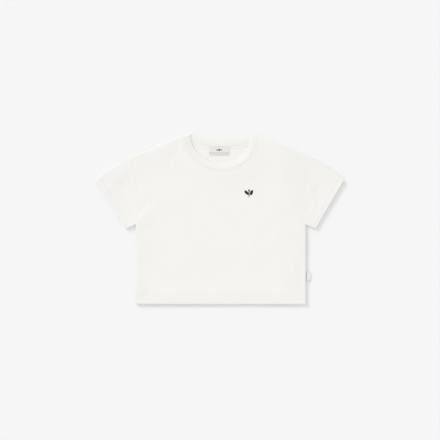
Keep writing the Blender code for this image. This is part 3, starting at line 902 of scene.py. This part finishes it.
# ---- Body panels ---------------------------------------------------------
def edge_stops(cloth):
    """Distances in from a rounded edge at which its rolls and its seam are drawn, without
    those that all but repeat the one before."""
    rolls = {stop * roll for stop in ROLL_STOPS
             for roll in (cloth.edge_roll, cloth.under_roll)}
    first, *stops = sorted(set(SEAM_STOPS) | rolls)
    kept = [first]
    for stop in stops:
        if stop - kept[-1] >= LEAST_STEP:
            kept.append(stop)
    return np.array(kept)


def panel_grid(pattern, neck_seam_h):
    """Plan places of a panel's points, columns side to side by rows up from the hem."""
    cut = pattern.cut
    stops = edge_stops(pattern.cloth)
    edge = stops[-2::-1]
    neck_share = cut.neck_half / SHOULDER_HALF
    neck = neck_share * np.sin(np.linspace(0.0, math.pi / 2, NECK_COLUMNS))
    seam_start = 1.0 - SEAM_STOPS[-1] / cut.chest_half
    shoulder = np.linspace(neck_share, seam_start, SHOULDER_COLUMNS)[1:]
    half = np.concatenate([neck, shoulder, 1.0 - edge / cut.chest_half])
    share = np.concatenate([-half[:0:-1], half])[:, None]

    top = pattern.top_h(share * SHOULDER_HALF, neck_seam_h)
    hem_top = cut.hem_depth + HEM_MARGIN
    first, step = PANEL_HEM
    lower = np.concatenate([FOLD_STOPS, np.arange(first, hem_top, step),
                            np.linspace(hem_top, cut.underarm_h, LOWER_ROWS)])
    rise = np.linspace(0.0, 1.0, UPPER_ROWS)[1:]
    upper = cut.underarm_h + rise * (top - stops[-1] - cut.underarm_h)
    lower = np.broadcast_to(lower, (len(share), len(lower)))
    h = np.concatenate([lower, upper, top - edge], axis=1)

    follow = np.clip((np.abs(share) - neck_share) / (1.0 - neck_share), 0.0, None)
    width = np.abs(share) * SHOULDER_HALF - follow * (SHOULDER_HALF - pattern.half_width(h))
    return np.copysign(width, share), h


def panel_walls(pattern, is_front):
    """Outer and inner points of a body panel."""
    cut, cloth = pattern.cut, pattern.cloth
    neck_seam_h = pattern.front_seam_h if is_front else pattern.back_seam_h
    neckline = pattern.front_neckline if is_front else pattern.back_neckline
    x, h = panel_grid(pattern, neck_seam_h)
    side_gap = segment_gap(np.abs(x), h, (cut.chest_half, 0.0), pattern.underarm)[0]
    shoulder_gap = segment_gap(np.abs(x), h, pattern.neck_point, pattern.shoulder)[0]
    edge_gap = np.minimum(side_gap, shoulder_gap)
    inner_roll = edge_gap / cloth.under_roll
    top = pattern.base_z(x, h)
    wall = pattern.wall(h)
    relief = (pattern.body_relief(x, h, neckline)
              + pattern.seam_relief(edge_gap, *SIDE_SEAM))
    if is_front:
        roll, fullness = edge_gap / cloth.edge_roll, ELLIPSE
        seam_z = top * cloth.seam_rise + cloth.seam_gap / 2
        outer_z = top + relief + fine_folds(x, h)
        inner_z = outer_z - wall - np.clip(relief, 0.0, None) * INNER_SHARE
    else:
        roll, fullness = inner_roll, cloth.under_fullness
        seam_z = top * cloth.seam_rise - cloth.seam_gap / 2
        outer_z = np.clip(-relief, 0.0, None) + fold_heights(x, h, UNDER_FOLDS)
        inner_z = wall + outer_z + INNER_SHARE * (ripple(x, h) + RIPPLE_HEIGHT)
        neck_gap = path_gap(np.abs(x), h, neckline)
        reach = cloth.seam_allowance + ALLOWANCE_MARGIN
        inner_z += cloth.neck_allowance * smooth((reach - neck_gap) / ALLOWANCE_FADE)
    outer_z, inner_z = round_hem(outer_z, inner_z, h)
    outer = world(x, h, rolled(seam_z, outer_z, roll, fullness))

    slope = (cut.neck_h - cut.shoulder_h) / (SHOULDER_HALF - cut.neck_half)
    lean = math.hypot(1.0, slope)
    from_side, from_shoulder = [
        cloth.wall * np.clip(1.0 - gap / cloth.under_roll, 0.0, None)
        for gap in (side_gap, shoulder_gap)]
    inner_x = x - np.copysign(from_side + from_shoulder * slope / lean, x)
    inner = world(inner_x, h - from_shoulder / lean,
                  rolled(seam_z, inner_z, inner_roll, fullness))
    return outer, inner, np.stack([x, h], -1)


# ---- Sleeves -------------------------------------------------------------
def sleeve_place(pattern, share, way):
    """Plan places on the left sleeve: share from underarm to top, way from armhole out."""
    cut = pattern.cut
    armhole_h = cut.underarm_h + share * (cut.shoulder_h - cut.underarm_h)
    armhole_x = pattern.half_width(armhole_h) + pattern.cloth.seam_gap
    low, tip = np.array(pattern.cuff_low), np.array(pattern.cuff_tip)
    top_line = tip - np.array(pattern.shoulder)
    outward = np.array([-top_line[1], top_line[0]]) / np.linalg.norm(top_line)
    crown = cut.sleeve_crown * share ** 2 * np.sin(np.pi * way ** CROWN_LEAN)
    x = armhole_x + way * (low[0] + share * (tip[0] - low[0]) - armhole_x)
    h = armhole_h + way * (low[1] + share * (tip[1] - low[1]) - armhole_h)
    return x + crown * outward[0], h + crown * outward[1]


def sleeve_walls(pattern, side):
    """Outer and inner points of a sleeve. Its sections run round from the underarm fold
    over the upper layer to the top fold, and back through the lower layer."""
    cut, cloth, reach = pattern.cut, pattern.cloth, pattern.sleeve_reach
    width = cut.shoulder_h - cut.underarm_h
    stops = edge_stops(cloth) / width
    between = np.linspace(stops[-1], 1.0 - stops[-1], SLEEVE_COLUMNS)[1:-1]
    share = np.concatenate([stops, between, 1.0 - stops[::-1]])
    share = np.concatenate([share, share[-2:0:-1]])[:, None]
    upper = (np.arange(len(share)) <= len(share) // 2)[:, None]

    hem_start = 1.0 - (cut.hem_depth + HEM_MARGIN) / reach
    margin, step = SLEEVE_HEM
    cuff = np.concatenate([np.arange(cut.hem_depth + margin, step, -step),
                           FOLD_STOPS[::-1]])
    way = np.concatenate([np.array(SEAM_STOPS) / reach,
                          np.linspace(SEAM_STOPS[-1] / reach, hem_start, SLEEVE_ROWS)[1:],
                          1.0 - cuff / reach])[None, :]
    x, h = sleeve_place(pattern, share, way)
    low_x, low_h = sleeve_place(pattern, np.zeros_like(share), way)
    high_x, high_h = sleeve_place(pattern, np.ones_like(share), way)
    across = np.hypot(high_x - low_x, high_h - low_h)
    fold_gap = np.minimum(share, 1.0 - share) * across
    roll = fold_gap / np.where(upper, cloth.edge_roll, cloth.under_roll)
    inner_roll = fold_gap / cloth.under_roll
    fullness = np.where(upper, ELLIPSE, cloth.under_fullness)

    cuff_gap = np.broadcast_to((1.0 - way) * reach, x.shape)
    top = pattern.base_z(side * x, h)
    wall = pattern.wall(cuff_gap)
    relief = (pattern.seam_relief(way * reach, *ARMHOLE_ON_SLEEVE)
              + pattern.hem_relief(cuff_gap, CUFF_PUFF, 0.0))
    above = top + relief + fine_folds(side * x, h)
    below = np.clip(-relief, 0.0, None) + fold_heights(side * x, h, UNDER_FOLDS)
    outer_z, inner_z = round_hem(np.where(upper, above, below),
                                 np.where(upper, above - wall, below + wall), cuff_gap)
    fold_z = top * cloth.seam_rise
    outer = world(side * x, h, rolled(fold_z, outer_z, roll, fullness))
    toward = np.where(share < 0.5, cloth.wall, -cloth.wall)
    toward = toward * np.clip(1.0 - inner_roll, 0.0, None)
    inner_x = x + toward * (high_x - low_x) / across
    inner_h = h + toward * (high_h - low_h) / across
    inner = world(side * inner_x, inner_h, rolled(fold_z, inner_z, inner_roll, fullness))
    around = np.where(upper, 1.0, -1.0) * (1.0 - share) * width
    return outer, inner, np.stack(np.broadcast_arrays(around, way * reach), -1)


def cuff_path(pattern, side, row, fold_gap):
    """Plan path of one row of cuff stitches that stops fold_gap short of both folds."""
    edge = fold_gap / math.dist(pattern.cuff_tip, pattern.cuff_low)
    share = np.linspace(edge, 1.0 - edge, CUFF_POINTS)
    way = np.full_like(share, 1.0 - row / pattern.sleeve_reach)
    x, h = sleeve_place(pattern, share, way)
    return side * x, h


# ---- Collar --------------------------------------------------------------
def collar_curves(pattern):
    """Free and seam edges of the band: front by angle, back by share of the half width."""
    cut, collar = pattern.cut, pattern.collar
    free_drop = collar.free_h - (cut.neck_h - cut.front_drop + collar.depth)

    def squared(points):
        """Moves points of a seam curve into the neck opening by the seam gap."""
        along = np.gradient(points, axis=0)
        along /= np.linalg.norm(along, axis=1, keepdims=True)
        return points + pattern.cloth.seam_gap * np.stack([-along[:, 1], along[:, 0]], -1)

    def front(angle):
        free = np.stack([collar.free_half * np.sin(angle),
                         collar.free_h - free_drop * np.cos(angle)], -1)
        seam = np.stack([cut.neck_half * np.sin(angle),
                         cut.neck_h - cut.front_drop * np.cos(angle)], -1)
        return free, squared(seam)

    def back(share):
        lift = 1.0 - np.abs(share) ** pattern.BACK_CURVE
        free = np.stack([collar.free_half * share,
                         collar.free_h - collar.free_back_drop * lift], -1)
        x = cut.neck_half * share
        seam = np.stack([x, pattern.back_seam_h(x)], -1)
        return free, squared(seam)

    return front, back


def band_sections(pattern, free, seam, free_z, seam_z, normal, outer_rib, inner_rib):
    """Closed sections of the band: out along the outer face, round the free edge, back."""
    collar = pattern.collar
    start = np.concatenate([seam + (0.0, HEM_Y), seam_z[:, None]], axis=1)
    end = np.concatenate([free + (0.0, HEM_Y), free_z[:, None]], axis=1)
    length = np.linalg.norm(end - start, axis=1, keepdims=True)
    across = (end - start) / length
    half = collar.band / 2
    stops = np.array(BAND_STOPS)
    pinch = BAND_PINCH * np.exp(-(stops / PINCH_WIDTH) ** 2)
    swell = BAND_SWELL * np.sin(np.pi * np.clip(stops / SWELL_DEPTH, 0.0, 1.0))
    thin = 1.0 - collar.taper * stops / stops[-1]
    rows = list(zip(stops, swell - pinch, thin))
    points = []

    def face(rows, rib, side):
        for stop, rise, share in rows:
            out = half * share + rise + rib * share
            points.append(start + across * stop + side * normal * out[:, None])

    face(rows, outer_rib, 1.0)
    half_tip = half * thin[-1]
    tip = start + across * (length - half_tip)
    for turn in np.linspace(0.5, -0.5, TIP_POINTS) * math.pi:
        rib = outer_rib if turn > 0.0 else inner_rib
        out = (half_tip + rib * thin[-1])[:, None]
        points.append(tip + across * out * math.cos(turn) + normal * out * math.sin(turn))
    face(rows[::-1], inner_rib, -1.0)
    return np.stack(points, axis=1)


def collar_points(pattern):
    """The whole ring of the band: front, left shoulder fold, back, right shoulder fold."""
    cut, collar = pattern.cut, pattern.collar
    front, back = collar_curves(pattern)
    steps = collar.rib_steps
    reach = math.pi * (cut.neck_half + cut.front_drop - collar.depth) / 2
    front_count = steps * round(reach / collar.rib_pitch)
    back_count = steps * round(2 * (cut.neck_half - collar.depth / 2) / collar.rib_pitch)
    low_z = collar.band / 2 + BAND_SWELL

    def ribs(count):
        """Relief along the band: rounded ribs with narrow grooves between them."""
        wave = np.abs(np.sin(np.arange(count) * math.pi / steps))
        return collar.rib_relief * wave ** RIB_ROUND

    angle = np.linspace(-FOLD_ANGLE, FOLD_ANGLE, front_count + 1)
    free, seam = front(angle)
    seam_z = pattern.base_z(seam[:, 0], seam[:, 1]) - collar.band / 2
    onset, reached = np.where(angle < 0.0, np.array(DROOP_RIGHT)[:, None],
                              np.array(DROOP_LEFT)[:, None])
    droop = smooth((np.cos(angle) - onset) / (reached - onset))
    free_z = seam_z - collar.fold_press - (collar.free_droop - collar.fold_press) * droop
    up = np.tile((0.0, 0.0, 1.0), (len(angle), 1))
    relief = ribs(len(angle))
    parts = [band_sections(pattern, free, seam, free_z, seam_z, up, relief, 0.0 * relief)]
    front_free, front_seam, upper_z = free[-1], seam[-1], seam_z[-1]

    share = FOLD_SHARE * np.linspace(1.0, -1.0, back_count + 1)
    free, seam = [points[::-1] for points in back(share[::-1])]
    back_free, back_seam = free[0], seam[0]
    up = np.tile((0.0, 0.0, 1.0), (len(share), 1))
    flat = low_z + collar.fold_press * np.abs(share) ** PRESS_POWER
    end_z = flat[0]
    relief = ribs(len(share))
    sunk = relief - collar.rib_relief
    back_part = band_sections(pattern, free, seam, flat, flat, -up, sunk, relief)

    def shoulder_fold(side):
        fold_steps = 2 * steps
        across = (front_seam + back_seam - front_free - back_free) / 2
        out = np.array([-across[1], across[0]]) / np.linalg.norm(across)
        radius = (upper_z - end_z) / 2
        part = np.arange(1, fold_steps) / fold_steps
        turn = math.pi * part
        shift = out[None] * radius * np.sin(turn)[:, None]
        free = front_free + part[:, None] * (back_free - front_free) + shift
        seam = front_seam + part[:, None] * (back_seam - front_seam) + shift
        z = end_z + radius * (1.0 + np.cos(turn))
        free_z = z - collar.fold_press * (1.0 - part) ** 2
        normal = np.stack([side * out[0] * np.sin(turn), out[1] * np.sin(turn),
                           np.cos(turn)], -1)
        relief = ribs(fold_steps)[1:] * np.clip(RIB_FADE - part, 0.0, 1.0)
        return band_sections(pattern, free * (side, 1), seam * (side, 1), free_z, z, normal,
                             relief, 0.0 * relief)

    parts += [shoulder_fold(1), back_part, shoulder_fold(-1)[::-1]]
    return np.concatenate(parts)


def make_ring(name, sections, material):
    """A closed ring from sections x points, with a map that runs along and across it."""
    count, size = sections.shape[:2]
    i, j = np.meshgrid(np.arange(count), np.arange(size), indexing="ij")
    after, beside = (i + 1) % count, (j + 1) % size
    faces = np.stack([i * size + j, after * size + j, after * size + beside,
                      i * size + beside], -1).reshape(-1, 4)
    line = sections[:, MAP_POINT]
    along = np.linalg.norm(np.diff(line, axis=0, append=line[:1]), axis=1)
    run = np.concatenate([[0.0], np.cumsum(along)[:-1]])
    steps = np.linalg.norm(np.diff(sections[0], axis=0), axis=1)
    round_it = np.concatenate([[0.0], np.cumsum(steps)])
    uv = np.stack(np.broadcast_arrays(run[:, None], round_it[None, :]), -1)
    return finish_piece(name, sections.reshape(-1, 3), faces, material,
                        uv.reshape(-1, 2), RIB_SHARP)


# ---- Operators -----------------------------------------------------------
class SHIRT_OT_panels(bpy.types.Operator):
    """Make the front and back panels as thin jersey walls"""

    bl_idname = "shirt.panels"
    bl_label = "Body panels"

    def execute(self, context):
        pattern = Pattern()
        jersey = jersey_material()
        for name, is_front in (("jersey_back", False), ("jersey_front", True)):
            outer, inner, uv = panel_walls(pattern, is_front)
            piece = make_wall(name, outer, inner, False, uv, jersey)
            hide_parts("front" if is_front else "back")
        return {"FINISHED"}


class SHIRT_OT_sleeves(bpy.types.Operator):
    """Make both sleeves as flattened jersey tubes"""

    bl_idname = "shirt.sleeves"
    bl_label = "Sleeves"

    def execute(self, context):
        pattern = Pattern()
        jersey = jersey_material()
        for name, node, side in (("jersey_sleeve_left", "sleeve_left", 1),
                                 ("jersey_sleeve_right", "sleeve_right", -1)):
            outer, inner, uv = sleeve_walls(pattern, side)
            piece = make_wall(name, outer, inner, True, uv, jersey)
            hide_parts(node)
        return {"FINISHED"}


class SHIRT_OT_collar(bpy.types.Operator):
    """Make the doubled rib band round the neck"""

    bl_idname = "shirt.collar"
    bl_label = "Collar"

    def execute(self, context):
        pattern = Pattern()
        rib = cotton_material("cotton_rib", colours().rib, wale=0.0014, course=0.0009,
                              depth=0.0002)
        piece = make_ring("rib_collar", collar_points(pattern), rib)
        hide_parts("neck_rib")
        return {"FINISHED"}


class SHIRT_OT_stitching(bpy.types.Operator):
    """Sew the hem, cuffs and neckline with twin rows of stitches"""

    bl_idname = "shirt.stitching"
    bl_label = "Stitching"

    BOW = 0.00012               # rise of a stitch between its ends
    SINK = 0.2                  # how deep the upper rows lie, in thread radii
    UNDER_RISE = 1.15           # height of the rows underneath, in thread radii
    HEM_END, CUFF_END = 0.004, 0.001        # gaps from the side seam and the folds
    UNDER_MARGIN = 0.001        # rows underneath stop this far before the cloth turns up
    NECK_ANGLE, NECK_LIFT, BACK_SHARE = 1.45, 0.0001, 0.93
    HEM_POINTS, NECK_POINTS, BACK_POINTS = 220, 240, 160

    def execute(self, context):
        pattern = Pattern()
        cut, sewing = pattern.cut, pattern.sewing
        thread = sewing_thread()

        def sew(name, rows):
            pairs = [stitches_along(row, sewing.stitch) for row in rows]
            starts, ends = [np.concatenate(part) for part in zip(*pairs)]
            make_threads(name, starts, ends, sewing.thread, self.BOW, thread, "jersey")

        def top_path(x, h, relief):
            z = pattern.base_z(x, h) + fine_folds(x, h)
            return world(x, h, z + relief - sewing.thread * self.SINK)

        def under_path(x, h):
            z = sewing.thread * self.UNDER_RISE + fold_heights(x, h, UNDER_FOLDS)
            return world(x, h, z)

        under_edge = pattern.cloth.under_roll + self.UNDER_MARGIN
        for name, edge, is_front in (("hem_stitches_front", self.HEM_END, True),
                                     ("hem_stitches_back", under_edge, False)):
            x = np.linspace(edge - cut.chest_half, cut.chest_half - edge, self.HEM_POINTS)
            hem = [np.full_like(x, row) for row in pattern.hem_rows()]
            sew(name, [top_path(x, h, pattern.hem_relief(h)) if is_front
                       else under_path(x, h) for h in hem])

        for name, side in (("cuff_stitches_left", 1), ("cuff_stitches_right", -1)):
            rows = []
            for row in pattern.hem_rows():
                above = cuff_path(pattern, side, row, self.CUFF_END)
                rows.append(top_path(*above, pattern.stitch_dip(0.0)))
                rows.append(under_path(*cuff_path(pattern, side, row, under_edge)))
            sew(name, rows)

        rows, under_rows = [], []
        angle = np.linspace(-self.NECK_ANGLE, self.NECK_ANGLE, self.NECK_POINTS)
        back_x = cut.neck_half * np.linspace(-self.BACK_SHARE, self.BACK_SHARE,
                                             self.BACK_POINTS)
        for row in pattern.neck_rows():
            x = (cut.neck_half + row) * np.sin(angle)
            h = cut.neck_h - (cut.front_drop + row) * np.cos(angle)
            relief = pattern.body_relief(x, h, pattern.front_neckline)
            rows.append(top_path(x, h, relief + self.NECK_LIFT))
            under_rows.append(under_path(back_x, pattern.back_seam_h(back_x) - row))
        sew("neck_stitches_front", rows)
        sew("neck_stitches_back", under_rows)
        return {"FINISHED"}


class SHIRT_OT_labels(bpy.types.Operator):
    """Make the woven neck label with its ornament, and the side label"""

    bl_idname = "shirt.labels"
    bl_label = "Labels"

    NECK_GRID, TAB_GRID = (60, 34), (30, 36)
    CURL, CURL_TURN = 0.0003, 1.4       # lift of the neck label's lower corners
    SOFT, SOFT_WAVES = 0.00008, (19.0, 5.0)
    NECK_EDGE = (0.08, 0.25)            # share that is rounded, and thickness at its edge
    BAND_HEIGHTS = (0.0030, 0.0092)
    NECK_PITCH, TAB_PITCH = 0.00045, 0.0004

    ORNAMENT_DROP = 0.0105
    LOZENGES = ((0.0, 0.0046, 0.0040), (0.0066, 0.0026, 0.0024),
                (-0.0066, 0.0026, 0.0024))      # place across, half width, half height
    LOZENGE_PITCH, LOZENGE_TIP = 0.00042, 0.0003
    ON_TAPE = 0.00012                   # height of threads over the neck label
    MARK_THREAD, MARK_BOW = 0.00022, 0.00006
    SEWN_DROP, SEWN_MARGIN, SEWN_STITCH, SEWN_BOW = 0.0016, 0.004, 0.0024, 0.0001
    SEWN_POINTS = 40

    TAB_GAP, TAB_THICK = 0.0001, 0.0010
    TAB_EDGE = (0.05, 0.3)
    TAB_WAVE, TAB_WAVES = 0.00015, 7.0
    BEND_REACH, BEND_DROP, SAG_POWER = 0.0016, 0.11, 1.5
    STRIPE_SPAN, STRIPE_PITCH, STRIPE_RISE = 0.46, 0.00045, 0.00058
    STRIPE_PLACES, STRIPE_BOW = (0.0018, 0.0031), 0.00005

    def execute(self, context):
        pattern = Pattern()
        self.neck_label(pattern)
        self.ornament(pattern)
        self.side_label(pattern)
        return {"FINISHED"}

    def tape(self, name, x, h, middle, thick, uv, material, slot):
        """A flat closed wall of woven tape."""
        return make_wall(name, world(x, h, middle + thick / 2),
                         world(x, h, middle - thick / 2), False, uv, material)

    def neck_label(self, pattern):
        sewing = pattern.sewing
        across = np.linspace(-0.5, 0.5, self.NECK_GRID[0])[:, None]
        down = np.linspace(0.0, 1.0, self.NECK_GRID[1])[None, :]
        x = sewing.label_x + across * sewing.label_width + 0.0 * down
        h = (pattern.back_seam_h(x) - pattern.cloth.seam_gap
             - down * sewing.label_depth)
        curl = self.CURL * np.cos(across * math.pi * self.CURL_TURN) * down ** 2
        wave_across, wave_down = self.SOFT_WAVES
        soft = self.SOFT * np.sin(across * wave_across + down * wave_down)
        edge, least = self.NECK_EDGE
        thick = sewing.label_thick * rounded((1.0 - down) / edge, least)
        middle = BACK_WALL + curl + sewing.label_thick / 2 + soft
        uv = np.stack(np.broadcast_arrays(x, (1.0 - down) * sewing.label_depth), -1)
        material = tape_material("label_tape", colours().label, self.NECK_PITCH,
                                 (colours().label_band, *self.BAND_HEIGHTS))
        piece = self.tape("neck_label_tape", x, h, middle, thick, uv, material,
                          "neck_label")
        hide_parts("neck_label")

    def ornament(self, pattern):
        """A plain woven ornament, one lozenge between two smaller ones, and the row of
        stitches that holds the label."""
        sewing = pattern.sewing
        top_z = BACK_WALL + sewing.label_thick + self.ON_TAPE
        centre_h = float(pattern.back_seam_h(sewing.label_x)) - self.ORNAMENT_DROP
        starts, ends = [], []
        for shift, wide, tall in self.LOZENGES:
            rows = int(2 * tall / self.LOZENGE_PITCH)
            for k in range(rows + 1):
                up = tall * (2.0 * k / rows - 1.0)
                reach = wide * (1.0 - abs(up) / tall) + self.LOZENGE_TIP
                y = centre_h + up + HEM_Y
                starts.append((sewing.label_x + shift - reach, y, top_z))
                ends.append((sewing.label_x + shift + reach, y, top_z))
        mark = thread_material("label_mark_thread", colours().label_mark, roughness=0.6)
        make_threads("label_ornament", starts, ends, self.MARK_THREAD, self.MARK_BOW, mark,
                     "neck_label")

        x = (np.linspace(-0.5, 0.5, self.SEWN_POINTS)
             * (sewing.label_width - self.SEWN_MARGIN) + sewing.label_x)
        path = world(x, pattern.back_seam_h(x) - self.SEWN_DROP, top_z)
        make_threads("label_stitches", *stitches_along(path, self.SEWN_STITCH),
                     sewing.thread, self.SEWN_BOW, sewing_thread(), "neck_label")

    def tab_z(self, pattern, h, share):
        """Middle of the side label: it bends down from the seam and sinks outwards."""
        sewing, cloth = pattern.sewing, pattern.cloth
        bend = np.exp(-share * sewing.tab_out / self.BEND_REACH)
        rise = sewing.tab_rise + (cloth.seam_rise - self.BEND_DROP - sewing.tab_rise) * bend
        top = pattern.base_z(np.full_like(h, pattern.cut.chest_half), h)
        return top * rise - sewing.tab_sag * share ** self.SAG_POWER

    def side_label(self, pattern):
        sewing, cut = pattern.sewing, pattern.cut
        out = np.linspace(0.0, 1.0, self.TAB_GRID[0])[:, None]
        up = np.linspace(-0.5, 0.5, self.TAB_GRID[1])[None, :]
        x = cut.chest_half + self.TAB_GAP + out * sewing.tab_out + 0.0 * up
        h = sewing.tab_h + up * sewing.tab_tall
        wave = self.TAB_WAVE * np.sin(up * self.TAB_WAVES + out) * out
        edge, least = self.TAB_EDGE
        thick = self.TAB_THICK * rounded((1.0 - out) / edge, least)
        uv = np.stack(np.broadcast_arrays(x, h), -1)
        material = tape_material("side_tape", colours().tab, self.TAB_PITCH)
        middle = self.tab_z(pattern, h, out) + wave
        piece = self.tape("side_label_tape", x, h, middle, thick, uv, material,
                          "side_label")
        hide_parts("side_label")

        # the woven stripe: short charcoal floats side by side, near the seam
        span, pitch = self.STRIPE_SPAN, self.STRIPE_PITCH / sewing.tab_tall
        h = sewing.tab_h + np.arange(-span, span, pitch) * sewing.tab_tall
        starts, ends = [world(cut.chest_half + place, h, self.STRIPE_RISE
                              + self.tab_z(pattern, h, place / sewing.tab_out))
                        for place in self.STRIPE_PLACES]
        stripe = thread_material("stripe_thread", colours().tab_stripe, roughness=0.55)
        make_threads("side_label_stripe", starts, ends, self.MARK_THREAD, self.STRIPE_BOW,
                     stripe, "side_label")


class SHIRT_OT_sprig(bpy.types.Operator):
    """Embroider a small leaf sprig on the wearer's left chest"""

    bl_idname = "shirt.sprig"
    bl_label = "Embroidered sprig"

    THREAD, BOW = 0.00026, 0.00035
    PITCH = 0.00040
    SLANT = math.radians(28)
    POINTED = 0.8               # below 1 a leaf is blunter, above 1 it is sharper

    def execute(self, context):
        pattern = Pattern()
        starts, ends = [], []
        for leaf in SPRIG:
            self.satin_leaf(leaf, starts, ends)
        low, high, width = SPRIG_STEM
        lean = width * MM / 2
        for k in range(int((high - low) * MM / self.PITCH)):
            y = low * MM + k * self.PITCH
            starts.append((-lean, y - lean / 2))
            ends.append((lean, y + lean / 2))
        flat = np.array([starts, ends]) + np.array(pattern.sewing.sprig_place)
        x, h = flat[..., 0], flat[..., 1]
        z = pattern.base_z(x, h) + fine_folds(x, h) + self.THREAD / 2
        thread = thread_material("sprig_thread", colours().sprig, roughness=0.45)
        make_threads("embroidered_sprig", *world(x, h, z), self.THREAD, self.BOW, thread,
                     "side_label")
        return {"FINISHED"}

    def satin_leaf(self, leaf, starts, ends):
        """Slanting satin threads across a pointed leaf."""
        x, y, length, width, turn = leaf
        length, width, turn = length * MM, width * MM, math.radians(turn)
        along = np.array([math.cos(turn), math.sin(turn)])
        aside = np.array([-along[1], along[0]])
        for k in range(int(length / self.PITCH)):
            share = (k + 0.5) * self.PITCH / length
            half = width / 2 * math.sin(math.pi * share) ** self.POINTED
            middle = np.array([x, y]) * MM + along * (share - 0.5) * length
            lean = along * half * math.tan(self.SLANT)
            starts.append(tuple(middle - aside * half - lean))
            ends.append(tuple(middle + aside * half + lean))


class SHIRT_OT_studio(bpy.types.Operator):
    """Lay the pale floor, hang the light and set the camera straight above"""

    bl_idname = "shirt.studio"
    bl_label = "Studio"

    FLOOR_HALF, FLOOR_DROP, FLOOR_CELLS = 15.0, 0.00015, 8
    LIGHT_REACH = 3.0
    SENSOR, FAR = 36.0, 60.0

    def execute(self, context):
        look = context.scene.shirt_studio
        self.floor(look)
        self.lights(context, look)
        self.camera(context, look)
        return {"FINISHED"}

    def floor(self, look):
        bpy.ops.mesh.primitive_grid_add(
            x_subdivisions=self.FLOOR_CELLS, y_subdivisions=self.FLOOR_CELLS,
            size=2 * self.FLOOR_HALF, location=(0.0, 0.0, -self.FLOOR_DROP))
        floor = bpy.context.object
        floor.name = "paper_floor"
        colour = tuple(look.floor_colour)
        material, nodes, shader = new_material("pale_paper", colour, roughness=0.85,
                                               sheen=0.0)
        grain = nodes.noise(nodes.place(), scale=260.0, detail=3.0)
        nodes.feed(shader.inputs["Base Color"],
                   two_tones(nodes, grain, colour, GRAIN_TONES))
        nodes.bump(shader, grain, strength=0.05, distance=0.0002)
        floor.data.materials.append(material)

    def lights(self, context, look):
        """An even light all round, and a broad low one as from a large soft box far off."""
        sky = bpy.data.worlds.new("studio_fill")
        sky.use_nodes = True
        background = sky.node_tree.nodes["Background"]
        background.inputs["Color"].default_value = (1.0, 1.0, 1.0, 1.0)
        background.inputs["Strength"].default_value = look.fill_strength
        context.scene.world = sky
        context.scene.view_settings.view_transform = "Standard"

        light = bpy.data.lights.new("side_light", "SUN")
        light.energy, light.angle = look.side_power, look.side_angle
        turn, rise = look.side_turn, look.side_rise
        place = Vector((-math.cos(turn) * math.cos(rise), math.sin(turn) * math.cos(rise),
                        math.sin(rise))) * self.LIGHT_REACH
        lamp = bpy.data.objects.new("side_light", light)
        lamp.location = place
        lamp.rotation_mode = "QUATERNION"
        lamp.rotation_quaternion = (-place).to_track_quat("-Z", "Y")
        context.scene.collection.objects.link(lamp)

    def camera(self, context, look):
        data = bpy.data.cameras.new("overhead_camera")
        data.type = "PERSP"
        data.sensor_width = self.SENSOR
        data.lens = self.SENSOR * look.camera_height / look.view_width
        data.clip_end = self.FAR
        camera = bpy.data.objects.new("overhead_camera", data)
        camera.location = (*look.view_centre, look.camera_height)
        context.scene.collection.objects.link(camera)
        context.scene.camera = camera


class SHIRT_PT_panel(bpy.types.Panel):
    """Lists the garment's sizes, colours and steps"""

    bl_idname = "SHIRT_PT_panel"
    bl_label = "Flat T-shirt"
    bl_space_type = "VIEW_3D"
    bl_region_type = "UI"
    bl_category = "T-shirt"

    def draw(self, context):
        for title in GROUPS:
            box = self.layout.box()
            values = getattr(context.scene, title)
            for name in values.__annotations__:
                box.prop(values, name)
        for step in STEPS:
            self.layout.operator(step.bl_idname)


GROUPS = {
    "shirt_cut": CutSizes,
    "shirt_cloth": ClothSizes,
    "shirt_collar": CollarSizes,
    "shirt_sewing": SewingSizes,
    "shirt_colours": ClothColours,
    "shirt_studio": StudioLook,
}
STEPS = (SHIRT_OT_panels, SHIRT_OT_sleeves, SHIRT_OT_collar, SHIRT_OT_stitching,
         SHIRT_OT_labels, SHIRT_OT_sprig, SHIRT_OT_studio)


def register():
    for title, group_class in GROUPS.items():
        bpy.utils.register_class(group_class)
        setattr(bpy.types.Scene, title, PointerProperty(type=group_class))
    for step in STEPS:
        bpy.utils.register_class(step)
    bpy.utils.register_class(SHIRT_PT_panel)


def unregister():
    bpy.utils.unregister_class(SHIRT_PT_panel)
    for step in reversed(STEPS):
        bpy.utils.unregister_class(step)
    for title, group_class in reversed(GROUPS.items()):
        delattr(bpy.types.Scene, title)
        bpy.utils.unregister_class(group_class)


def main():
    register()
    bpy.ops.object.select_all(action="DESELECT")
    bpy.ops.shirt.studio()
    bpy.ops.object.select_all(action="DESELECT")
    bpy.ops.shirt.panels()
    bpy.ops.shirt.sleeves()
    bpy.ops.shirt.collar()
    bpy.ops.shirt.stitching()
    bpy.ops.shirt.labels()
    bpy.ops.shirt.sprig()


if __name__ == "__main__":
    main()
